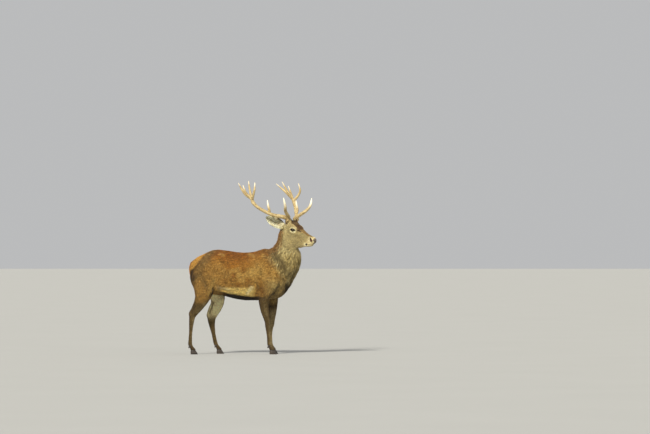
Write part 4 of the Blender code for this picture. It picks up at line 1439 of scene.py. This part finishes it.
def layTufts():
    # each tuft's direction, width and thickness, and the middles and outward ways of its rings
    n = len(roots)
    longer = tuftPlan["longer"]
    length = planValues(rootShare, "length") * dice.uniform(0.75, 1.25, n)
    inEar = rootShare["ears"] * ramp(np.sum(rootNormals * earFacing(roots), axis=1), 0.0, 0.4)
    length = length * (1 + longer["ears"] * inEar)
    local = toHead(roots)
    muzzle = rootShare["head"] * ramp(local[:, 0], 0.02, 0.22)
    length = length * (1 + longer["muzzle"] * muzzle)
    toEye = [np.linalg.norm(roots - np.array(middleOf(f"eye_{side}")), axis=1) for side in hands]
    byEye = fall(np.minimum(*toEye), 0.030, 0.055)
    length = length * (1 + longer["eye"] * byEye)
    crown = rootShare["head"] * ramp(local[:, 2], 0.05, 0.075) * fall(local[:, 0], 0.0, 0.07)
    length = length * (1 + longer["crown"] * crown)
    mirrored = np.stack([local[:, 0], np.abs(local[:, 1]), local[:, 2]], axis=1)
    pedicle = np.linalg.norm(mirrored - tuftPlan["pedicle"], axis=1)
    pedicle = fall(pedicle, *tuftPlan["pedicleFade"])
    length = np.where(pedicle > 0, length + (tuftPlan["pedicleLength"] - length) * pedicle, length)
    length = length * (1 + longer["foot"] * rootShare["legs"] * atFoot(roots))
    throat = rootShare["neck"] * ramp(rootNormals[:, 0], 0.1, 0.7) * fall(roots[:, 2], 1.20, 1.32)
    length = length * (1 + longer["throat"] * throat)
    width = planValues(rootShare, "width") * dice.uniform(0.8, 1.25, n) * (1 - 0.25 * muzzle - 0.08 * byEye)
    width = width * (1 - tuftPlan["footNarrower"] * rootShare["legs"] * atFoot(roots))
    thick = planValues(rootShare, "thick") * dice.uniform(0.8, 1.2, n)
    lift = planValues(rootShare, "lift") * dice.uniform(0.45, 1.5, n) * (1 + 0.5 * crown + 0.5 * inEar)
    swirl = softNoise(roots, 0.075, 7) + 0.6 * softNoise(roots, 0.028, 8)
    angle = planValues(rootShare, "wander") * (swirl + 0.55 * dice.normal(size=n))
    way = turned(rootFlow, rootNormals, angle)
    # the neck's tufts draw together into locks
    drawn = np.stack([softNoise(roots, tuftPlan["lockSize"], 21 + k) for k in range(3)], axis=1)
    drawn = drawn * (rootShare["neck"] * tuftPlan["lockPull"])[:, None]
    way = alongSurface(way + drawn, rootNormals)
    middles, outs = [roots - rootNormals * 0.0008], [rootNormals]
    for reach, rise in tuftPlan["rises"]:
        place, outward = onSkin(roots + way * (length * reach)[:, None])
        middles.append(place + outward * (length * lift * rise)[:, None])
        outs.append(outward)
    return way, width, thick, middles, outs


way, tuftWidth, tuftThick, middles, outs = layTufts()
print("tufts laid")
tuftTint = coatTint(middles[1], rootNormals, rootShare)  # the colour of the place that it covers
uneven = tuftPlan["unevenness"] + (tuftPlan["neckUnevenness"] - tuftPlan["unevenness"]) * rootShare["neck"]
uneven = uneven * np.clip(dice.normal(size=len(roots)), -2, 1.6)
tuftTint = tuftTint * np.exp(uneven)[:, None]
warmth = 0.035 * dice.normal(size=len(roots))
warmth = np.stack([1 + warmth, np.ones_like(warmth), 1 - 1.6 * warmth], axis=1)
tuftTint = np.clip(tuftTint * warmth, 0.003, 0.95)


def turnRound(points, axis, first, second):
    # place along an axis and the turn round the form's own middle line
    along = points @ axis
    across = np.stack([points @ first, points @ second], axis=1)
    bins = np.clip(((along - along.min()) / 0.03).astype(int), 0, None)
    count = np.maximum(np.bincount(bins), 1)
    line = np.stack([np.bincount(bins, across[:, k]) / count for k in range(2)], axis=1)
    at = (np.arange(len(count)) + 0.5) * 0.03 + along.min()
    full = np.bincount(bins) > 0
    off = [across[:, k] - np.interp(along, at[full], line[full, k]) for k in range(2)]
    return np.stack([along, np.arctan2(off[0], off[1])], axis=1)


def stretched(values):
    # spread over the map, but for a narrow margin
    low, high = values.min(axis=0), values.max(axis=0)
    return 0.02 + 0.955 * (values - low) / np.maximum(high - low, 1e-6)


def growPiece(name, picked, spread, bends, finish):
    index = np.flatnonzero(picked)
    count = len(index)
    rows = [0, 1, 3] if bends == 1 else [0, 1, 2, 3]
    points, tones = [], []
    for row in rows[:-1]:
        middle, out = middles[row][index], outs[row][index]
        aside = unit(np.cross(way[index], out)) * (tuftWidth[index] * tuftPlan["girth"][row])[:, None]
        ridge = out * tuftThick[index][:, None]
        points += [middle - aside, middle + aside, middle + ridge]
        tones += [tuftPlan["rootTone"] if row == 0 else 1.0] * 3
    points.append(middles[3][index])
    tones.append(tuftPlan["tipTone"])
    size = len(points)
    verts = np.stack(points, axis=1).reshape(-1, 3)
    offset = (np.arange(count) * size)[:, None, None]
    quads, tris = [], [[0, 2, 1]]
    for k in range(bends):
        for a, b in ((0, 1), (1, 2), (2, 0)):
            quads.append([3 * k + a, 3 * k + b, 3 * k + 3 + b, 3 * k + 3 + a])
    base = 3 * bends
    tris += [[base, base + 1, size - 1], [base + 1, base + 2, size - 1], [base + 2, base, size - 1]]
    quads = (np.array(quads)[None] + offset).reshape(-1, 4)
    tris = (np.array(tris)[None] + offset).reshape(-1, 3)
    loops = np.concatenate([quads.ravel(), tris.ravel()])
    starts = np.concatenate([np.arange(len(quads)) * 4, len(quads) * 4 + np.arange(len(tris)) * 3])
    mesh = bpy.data.meshes.new(name)
    mesh.vertices.add(len(verts))
    mesh.vertices.foreach_set("co", verts.astype(np.float32).ravel())
    mesh.loops.add(len(loops))
    mesh.loops.foreach_set("vertex_index", loops.astype(np.int32))
    mesh.polygons.add(len(starts))
    mesh.polygons.foreach_set("loop_start", starts.astype(np.int32))
    smoothShaded(mesh)
    mesh.update(calc_edges=True)
    # where a vertex lies on its tuft: across it and along it
    across = np.array([-1, 1, 0] * (bends + 1) + [0]) * 0.5
    along = np.repeat(np.arange(bends + 2) / (bends + 1), 3)[:size]
    corner = loops % size
    tuft = loops // size
    home = stretched(spread[index])
    patch = np.stack([across[corner], along[corner] - 0.5], axis=1) * tuftPlan["patch"]
    bake = mesh.uv_layers.new(name="OFBake")
    bake.data.foreach_set("uv", (home[tuft] + patch).astype(np.float32).ravel())
    lie = mesh.uv_layers.new(name="lie")
    shift = dice.random((count, 2)) * 40
    place = np.stack([across, along], axis=1)[corner] + shift[tuft]
    lie.data.foreach_set("uv", place.astype(np.float32).ravel())
    tint = tuftTint[index][:, None, :] * np.array(tones)[None, :, None]
    colourLayer(mesh, "coat", np.clip(tint, 0, 1).reshape(-1, 3))
    piece = linkObject(name, mesh)
    mesh.materials.append(finish)
    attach(piece, "root")
    return piece


coatFinish = makeCoatFinish("coat", 0.68, 0.9)
maneFinish = makeCoatFinish("mane", 0.62, 1.2)
furFinish = makeCoatFinish("shortFur", 0.72, 0.7)
labels = np.argmax(np.stack([rootShare[name] for name in regions], axis=1), axis=1)
inRegion = {name: labels == k for k, name in enumerate(regions)}
axisX, axisY, axisZ = np.eye(3)
headTurnRows = np.array(headTurn).T
neckWay = unit(np.array([0.40, 0.0, 0.92]))
neckOver = np.cross(axisY, neckWay)


def spreadOf(mask, axis, first, second):
    spread = np.zeros((len(roots), 2))
    spread[mask] = turnRound(roots[mask], axis, first, second)
    return spread


def growHalves(name, axes, bends, finish, parts):
    # the two sides, each in a few lengths with about as many tufts
    mask = inRegion[name]
    spread = spreadOf(mask, *axes)
    for side, hand in hands.items():
        half = mask & (np.sign(spread[:, 1]) == hand)
        cuts = np.quantile(spread[half, 0], np.linspace(0, 1, parts + 1))
        cuts[0], cuts[-1] = -9, 9
        for k in range(parts):
            picked = half & (spread[:, 0] >= cuts[k]) & (spread[:, 0] < cuts[k + 1])
            label = f"coat_{name}_{side}" + (f"_{k + 1}" if parts > 1 else "")
            growPiece(label, picked, spread, bends, finish)


growHalves("trunk", (axisX, axisY, axisZ), 1, coatFinish, 2)
growHalves("neck", (neckWay, axisY, neckOver), 2, maneFinish, 1)
growHalves("head", headTurnRows, 1, furFinish, 1)
for pair in ("fore", "hind"):
    for side, hand in hands.items():
        mask = inRegion["legs"] & (np.sign(roots[:, 1] - midY) == hand)
        mask &= (roots[:, 0] > (trunkLow.x + trunkHigh.x) / 2) == (pair == "fore")
        spread = spreadOf(mask, axisZ, -hand * axisY, -axisX)
        growPiece(f"coat_{pair}_leg_{side}", mask, spread, 1, furFinish)
spread = spreadOf(inRegion["tail"], axisZ, axisY, -axisX)
growPiece("coat_tail", inRegion["tail"], spread, 2, coatFinish)
for k, side in enumerate(hands):
    mask = inRegion["ears"] & (nearestEar(roots) == k)
    _, pointing, across, facing = (np.array(v) for v in earAxes(side))
    growPiece(f"coat_ear_{side}", mask, spreadOf(mask, pointing, across, -facing), 1, furFinish)
print("coat grown")


# the skin that shows, thinned where it is smooth

def finishSkin():
    # painted shade: a little darker under the coat, at full strength where it is bare
    depth = tuftPlan["underCoatShade"] + (1 - tuftPlan["underCoatShade"]) * bare
    colourLayer(flesh.data, "coat", coatTint(skinPoints, skinNormals, share) * depth[:, None])
    valueLayer(flesh.data, "bare", bare)
    spared = flesh.vertex_groups.new(name="spared")
    keep = np.clip(share["head"] + share["ears"], 0, 1)
    for level in (0.0, 0.3, 0.6, 0.9):
        picked = np.flatnonzero((keep >= level) & (keep < level + 0.3))
        spared.add(picked.tolist(), 1.0 - 0.55 * min(level / 0.9, 1), "REPLACE")
    thin = flesh.modifiers.new("thin", "DECIMATE")
    thin.ratio = skinPlan["triangles"] / len(meshTriangles(flesh.data))
    thin.vertex_group = "spared"
    thin.vertex_group_factor = 1.0
    applyModifiers(flesh)
    flesh.vertex_groups.clear()
    flesh.data.materials.clear()
    flesh.data.materials.append(makeSkinFinish())
    smoothShaded(flesh.data)
    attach(flesh, "root")
    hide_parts(*fleshNodes, *earNodes)
    print("skin thinned:", len(meshTriangles(flesh.data)), "triangles")


finishSkin()


# eyes, lid rims and lashes

eyeFinish = makeEyeFinish()
lidFinish = makeLidFinish()
eyePaints = {
    "iris": paint(42, 22, 11),
    "pupil": paint(10, 9, 12),
    "irisEdge": paint(30, 19, 14),
    "white": paint(62, 44, 36),
}
ballPlan = {
    "inset": 0.0002,  # how much smaller it is than the form that the lids follow
    "setBack": 0.0010,
    "corneaFrom": 0.72,
    "corneaBulge": 0.64,
    # half lengths and half heights along and over the slit, for the ball's radius
    "pupil": (0.44, 0.25),
    "irisEnd": (0.60, 0.74),
    "whiteFrom": (0.90, 0.99),
    "rays": (37, 0.12),  # how many in the iris, and how strong
}
lashPlan = {
    # steps round the lids, the first and the last with a lash
    "count": 96,
    "first": 5,
    "last": 43,
    "length": (0.0085, 0.0035, 0.0012),  # at the corners, how much more over the middle, unevenness
    "radii": (0.00042, 0.00036, 0.00024, 0.00006),
}


def addEye(side):
    centre, slit, over, outward = eyeAxes(side)
    radius = eyePlan["radius"] - ballPlan["inset"]
    bm = bmesh.new()
    bmesh.ops.create_uvsphere(bm, u_segments=72, v_segments=48, radius=radius)
    local = np.array([v.co[:] for v in bm.verts]) / radius
    for v in bm.verts:
        cornea = max(0.0, v.co.z / radius - ballPlan["corneaFrom"])
        v.co *= 1 + ballPlan["corneaBulge"] * cornea * cornea
        v.co.z -= ballPlan["setBack"]
    turned = Matrix((slit, over, outward)).transposed().to_4x4()
    bmesh.ops.transform(bm, matrix=Matrix.Translation(centre) @ turned, verts=bm.verts)
    bmesh.ops.recalc_face_normals(bm, faces=bm.faces)
    eye = fromBmesh(f"eyeball_{side}", bm)
    off = np.hypot(local[:, 0], local[:, 1] * 1.05)
    count, strength = ballPlan["rays"]
    rays = np.sin(np.arctan2(local[:, 1], local[:, 0]) * count) * strength
    long, tall = ballPlan["pupil"]
    pupil = fall((local[:, 0] / long) ** 2 + (local[:, 1] / tall) ** 2, 0.8, 1.15)
    tint = blend(eyePaints["iris"] * (1 + rays)[:, None], eyePaints["pupil"], pupil)
    tint = blend(tint, eyePaints["irisEdge"], ramp(off, *ballPlan["irisEnd"]))
    tint = blend(tint, eyePaints["white"], ramp(off, *ballPlan["whiteFrom"]))
    colourLayer(eye.data, "coat", tint)
    eye.data.materials.append(eyeFinish)
    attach(eye, "root")
    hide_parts(f"eye_{side}")


def rimPath(side, count, lift, outer=1.0):
    # points round the lids' opening, from the front corner over the top
    centre, slit, over, outward = eyeAxes(side)
    points = []
    for i in range(count):
        turn = 2 * math.pi * i / count
        along = math.cos(turn)
        tall = eyePlan["lidUp"] if math.sin(turn) > 0 else eyePlan["lidDown"]
        height = math.copysign((1 - along * along) * tall, math.sin(turn)) * outer
        ahead = slit * along * eyePlan["slitHalf"] * outer + over * height
        depth = math.sqrt(max(eyePlan["radius"] ** 2 - ahead.length_squared, 1e-8))
        points.append(centre + (ahead + outward * depth).normalized() * (eyePlan["radius"] + lift))
    return points


def addLidRim(side):
    bm = bmesh.new()
    points = rimPath(side, 72, 0.0009, 0.985)
    sweepTube(bm, points, [0.0013] * len(points), 8, closed=True)
    bmesh.ops.recalc_face_normals(bm, faces=bm.faces)
    rim = fromBmesh(f"lid_rim_{side}", bm)
    rim.data.materials.append(lidFinish)
    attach(rim, "root")


def addLashes(side):
    centre, slit, over, _ = eyeAxes(side)
    bm = bmesh.new()
    count = lashPlan["count"]
    short, more, uneven = lashPlan["length"]
    path = rimPath(side, count, 0.0022, 1.05)
    for i in range(lashPlan["first"], lashPlan["last"] + 1):
        start = path[i]
        away = (start - centre).normalized()
        turn = 2 * math.pi * i / count
        length = short + more * math.sin(turn) + uneven * dice.normal()
        sweep = (over * 0.62 - slit * 0.30 * math.cos(turn)) * length * 0.7
        reach = (away + over * 0.1) * length
        points = [start - away * 0.001 + reach * t + sweep * t * t for t in (0, 0.35, 0.7, 1.0)]
        sweepTube(bm, points, lashPlan["radii"], 4)
    bmesh.ops.recalc_face_normals(bm, faces=bm.faces)
    lashes = fromBmesh(f"lashes_{side}", bm)
    lashes.data.materials.append(lidFinish)
    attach(lashes, "root")


for side in hands:
    addEye(side)
    addLidRim(side)
    addLashes(side)
print("eyes made")


# antlers

antlerPlan = {
    "seat": (-0.098, 0.062, 0.104),  # middle of the burr, in the head's axes, left side
    "voxel": 0.0024,
    "grooveDepth": 0.0017,
    "pearlHeight": 0.0019,
    "burr": (0.0350, 0.0068),  # reach and half height of the coronet
    "fluteGrain": (0.0064, 0.0032),
    "fluteDraw": (0.020, 0.075),  # round the run and along it: how its grooves are drawn out
    "pearlGrain": 0.0078,
    # forward, outward and up from the burr with the radius there, level with the ground
    "beam": (
        (0.000, 0.000, -0.012, 0.025), (-0.030, 0.045, 0.014, 0.0225), (-0.100, 0.140, 0.036, 0.0195),
        (-0.150, 0.195, 0.064, 0.0185), (-0.198, 0.248, 0.100, 0.0175), (-0.238, 0.288, 0.138, 0.0175),
        (-0.270, 0.310, 0.182, 0.0190), (-0.292, 0.312, 0.222, 0.0165), (-0.360, 0.328, 0.270, 0.0150),
        (-0.428, 0.314, 0.328, 0.0110), (-0.508, 0.278, 0.400, 0.0036),
    ),
    "brow": (
        (0.004, 0.004, 0.012, 0.0185), (0.022, 0.061, 0.046, 0.0180), (0.047, 0.122, 0.086, 0.0165),
        (0.075, 0.160, 0.135, 0.0145), (0.079, 0.181, 0.185, 0.0110), (0.075, 0.194, 0.232, 0.0036),
    ),
    "trez": (
        (-0.136, 0.182, 0.054, 0.0150), (-0.131, 0.193, 0.096, 0.0140), (-0.142, 0.197, 0.145, 0.0112),
        (-0.155, 0.196, 0.208, 0.0034),
    ),
    "front": (
        (-0.283, 0.311, 0.200, 0.0145), (-0.240, 0.342, 0.262, 0.0135), (-0.215, 0.350, 0.325, 0.0110),
        (-0.226, 0.330, 0.405, 0.0036),
    ),
    "outer": ((-0.292, 0.312, 0.222, 0.0140), (-0.345, 0.345, 0.290, 0.0115), (-0.385, 0.348, 0.375, 0.0034)),
    "inner": (
        (-0.290, 0.311, 0.219, 0.0145), (-0.330, 0.284, 0.290, 0.0125), (-0.368, 0.258, 0.368, 0.0095),
        (-0.392, 0.240, 0.424, 0.0034),
    ),
}
ivoryPlan = {
    # how far from the tip of each run the ivory reaches, and how strong it is
    "beam": (0.075, 0.60),
    "brow": (0.140, 0.95),
    "trez": (0.110, 0.95),
    "front": (0.075, 0.65),
    "outer": (0.065, 0.60),
    "inner": (0.075, 0.60),
}
antlerFinish = makeAntlerFinish()


def antlerPath(side, run):
    level = Matrix.Rotation(math.radians(headTilt["yaw"]), 3, "Z")
    hand = hands[side]
    burr = headMiddle + headTurn @ (Vector(antlerPlan["seat"]) * Vector((1, hand, 1)))
    rows = easedPath(antlerPlan[run], 10)
    points = np.array([burr + level @ Vector((row[0], hand * row[1], row[2])) for row in rows])
    return points, rows[:, 3]


def addBurr(bm, beam):
    # the coronet, a knobbly ring where the antler leaves its pedicle
    ahead = Vector(beam[6] - beam[2]).normalized()
    reach, half = antlerPlan["burr"]
    middle = Vector(beam[2]) + ahead * 0.006
    first = ahead.orthogonal().normalized()
    second = ahead.cross(first)
    ring = []
    for k in range(36):
        angle = 2 * math.pi * k / 36
        knob = 1 + 0.05 * math.sin(5 * angle + 1.0) + 0.07 * math.sin(11 * angle)
        ring.append(middle + (first * math.cos(angle) + second * math.sin(angle)) * (reach - half) * knob)
    sweepTube(bm, ring, [half * (1 + 0.18 * math.sin(9 * i)) for i in range(36)], 10, closed=True)


def nearestOnRuns(spots, lines):
    # for each point, the nearest place on the runs: its middle, the run's direction there,
    # how far the tip is, how far the burr is and how white the tip is
    rows = []
    for run, (reach, white) in ivoryPlan.items():
        line, radii = lines[run]
        steps = np.linalg.norm(np.diff(line, axis=0), axis=1)
        gone = np.concatenate([[0], np.cumsum(steps)])
        toTip = (gone[-1] - gone) / reach
        fromBurr = np.linalg.norm(line - lines["beam"][0][0], axis=1)
        whites = np.full(len(line), white)
        rows.append(np.column_stack([line, unit(np.gradient(line, axis=0)), toTip, fromBurr, whites, radii]))
    rows = np.concatenate(rows)
    nearest = np.empty(len(spots), int)
    for chunk in np.array_split(np.arange(len(spots)), max(1, len(spots) // 4000)):
        apart = np.linalg.norm(spots[chunk, None] - rows[None, :, :3], axis=2) - rows[None, :, 9]
        nearest[chunk] = np.argmin(apart, axis=1)
    rows = rows[nearest]
    return rows[:, :3], rows[:, 3:6], rows[:, 6], rows[:, 7], rows[:, 8]


def carveAntler(antler, lines):
    spots = Net(antler.data).polish(meshPoints(antler.data), 8)
    setPoints(antler.data, spots)
    normals = meshNormals(antler.data)
    middle, runWay, tip, low, white = nearestOnRuns(spots, lines)
    # long grooves: noise drawn out along the run
    offset = spots - middle
    offset = offset - runWay * np.sum(offset * runWay, axis=1, keepdims=True)
    about, along = antlerPlan["fluteDraw"]
    drawn = unit(offset) * about + runWay * (np.sum(spots * runWay, axis=1) * along)[:, None]
    coarse, fine = antlerPlan["fluteGrain"]
    fluting = softNoise(drawn, coarse, 31) + 0.5 * softNoise(drawn, fine, 32)
    grooved = ramp(-fluting, 0.05, 0.75)
    plain = fall(tip, 0.35, 1.05)
    pearls = softNoise(spots, antlerPlan["pearlGrain"], 33)
    pearled = ramp(pearls, 0.15, 0.6) * fall(low, 0.10, 0.42) * (1 - plain)
    height = antlerPlan["pearlHeight"] * pearled - antlerPlan["grooveDepth"] * grooved * (1 - plain)
    setPoints(antler.data, spots + normals * height[:, None])
    ivory = fall(tip, 0.25, 1.0) * white
    darkness = 0.22 + 0.62 * grooved - 0.40 * pearled + 0.26 * fall(low, 0.02, 0.16)
    darkness = np.clip(darkness, 0, 1) + 0.18 * softNoise(spots, 0.05, 34)
    valueLayer(antler.data, "ivory", np.clip(ivory, 0, 1))
    valueLayer(antler.data, "groove", np.clip(darkness, 0, 1))


def addAntler(side):
    bm = bmesh.new()
    lines = {run: antlerPath(side, run) for run in ivoryPlan}
    for points, radii in lines.values():
        sweepTube(bm, points, list(radii + 0.0006), 20)
    addBurr(bm, lines["beam"][0])
    bmesh.ops.recalc_face_normals(bm, faces=bm.faces)
    antler = fused(fromBmesh(f"antler_{side}", bm), antlerPlan["voxel"])
    carveAntler(antler, lines)
    antler.data.materials.append(antlerFinish)
    smoothShaded(antler.data)
    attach(antler, "root")
    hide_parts(*[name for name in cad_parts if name.startswith(f"antler_{side}_")])
    print("antler made:", side, len(meshTriangles(antler.data)), "triangles")


for side in hands:
    addAntler(side)


# hooves and dew claws

hoofPlan = {"edgeRound": 0.0022, "edgeSegments": 3, "rounds": 2, "flatWithin": 4, "sharpOver": 48}
hornFinish = makeHornFinish()


def addHorn(node):
    # the solid's own flat faces, with rounded edges and rounder sides
    bm = bmesh.new()
    bm.from_mesh(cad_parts[node].data)
    bmesh.ops.remove_doubles(bm, verts=bm.verts, dist=0.00001)
    flat, sharp = (math.radians(hoofPlan[name]) for name in ("flatWithin", "sharpOver"))
    bmesh.ops.dissolve_limit(bm, angle_limit=flat, verts=bm.verts, edges=bm.edges)
    edges = [e for e in bm.edges if e.is_manifold and e.calc_face_angle(0) > sharp]
    bmesh.ops.bevel(
        bm, geom=edges, offset=hoofPlan["edgeRound"], offset_type="OFFSET", affect="EDGES",
        segments=hoofPlan["edgeSegments"], profile=0.5, material=-1, clamp_overlap=True,
    )
    bmesh.ops.triangulate(bm, faces=[f for f in bm.faces if len(f.verts) > 4])
    for _ in range(hoofPlan["rounds"]):
        bmesh.ops.subdivide_edges(bm, edges=bm.edges, cuts=1, smooth=0.6, use_grid_fill=True)
    sole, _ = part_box(node)
    for v in bm.verts:
        v.co.z = max(v.co.z, sole.z)
    horn = fromBmesh("horn_" + node, bm)
    horn.data.materials.append(hornFinish)
    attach(horn, "root")
    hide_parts(node)


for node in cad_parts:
    if node.startswith(("hoof_", "dew_claw_")):
        addHorn(node)
print("hooves made")


# studio

stagePlan = {
    "floorReach": 120.0,
    "floorPaint": paint(176, 176, 172),
    "floorTone": (0.8, 14, 0.06, 0.04),
    # strength, direction round, height, softness in degrees, colour
    "key": (4.0, -24, 38, 9, (1.0, 0.96, 0.87)),
    "fill": (0.45, 62, 24, 50, (1.0, 0.97, 0.92)),
    "sky": (0.52, (0.95, 0.96, 0.97)),
}


def addFloor():
    bm = bmesh.new()
    bmesh.ops.create_grid(bm, x_segments=8, y_segments=8, size=stagePlan["floorReach"])
    floor = fromBmesh("floor", bm)
    made, tree, shader = newFinish("floor", Roughness=0.9)
    plainTone(tree, shader, stagePlan["floorPaint"], *stagePlan["floorTone"])
    floor.data.materials.append(made)


def addSun(name):
    strength, azimuth, elevation, spread, colour = stagePlan[name]
    sun = bpy.data.lights.new(name, "SUN")
    sun.energy = strength
    sun.angle = math.radians(spread)
    sun.color = colour
    placed = bpy.data.objects.new(name, sun)
    az, el = math.radians(azimuth), math.radians(elevation)
    towards = Vector((math.sin(az) * math.cos(el), -math.cos(az) * math.cos(el), math.sin(el)))
    placed.rotation_euler = towards.to_track_quat("Z", "Y").to_euler()
    bpy.context.scene.collection.objects.link(placed)


def addStudio():
    addFloor()
    addSun("key")
    addSun("fill")
    strength, colour = stagePlan["sky"]
    world = bpy.data.worlds.new("studio")
    world.use_nodes = True
    sky = world.node_tree.nodes["Background"]
    sky.inputs["Color"].default_value = (*colour, 1)
    sky.inputs["Strength"].default_value = strength
    bpy.context.scene.world = world


cameraPlan = {"away": 42.0, "height": 1.30, "width": 7.345, "aheadOfEye": 0.364, "middleHeight": 1.548}


def addCamera():
    camera = bpy.data.cameras.new("camera")
    camera.sensor_width = 36
    camera.lens = 36 * cameraPlan["away"] / cameraPlan["width"]
    camera.clip_end = 400
    placed = bpy.data.objects.new("camera", camera)
    middle = middleOf("eye_right").x + cameraPlan["aheadOfEye"]
    placed.location = (middle, midY - cameraPlan["away"], cameraPlan["height"])
    towards = Vector((middle, midY, cameraPlan["middleHeight"])) - placed.location
    placed.rotation_euler = towards.to_track_quat("-Z", "Y").to_euler()
    bpy.context.scene.collection.objects.link(placed)
    bpy.context.scene.camera = placed


addStudio()
addCamera()
bpy.context.scene.view_settings.view_transform = "Standard"
print("studio set")

bpy.context.view_layer.update()
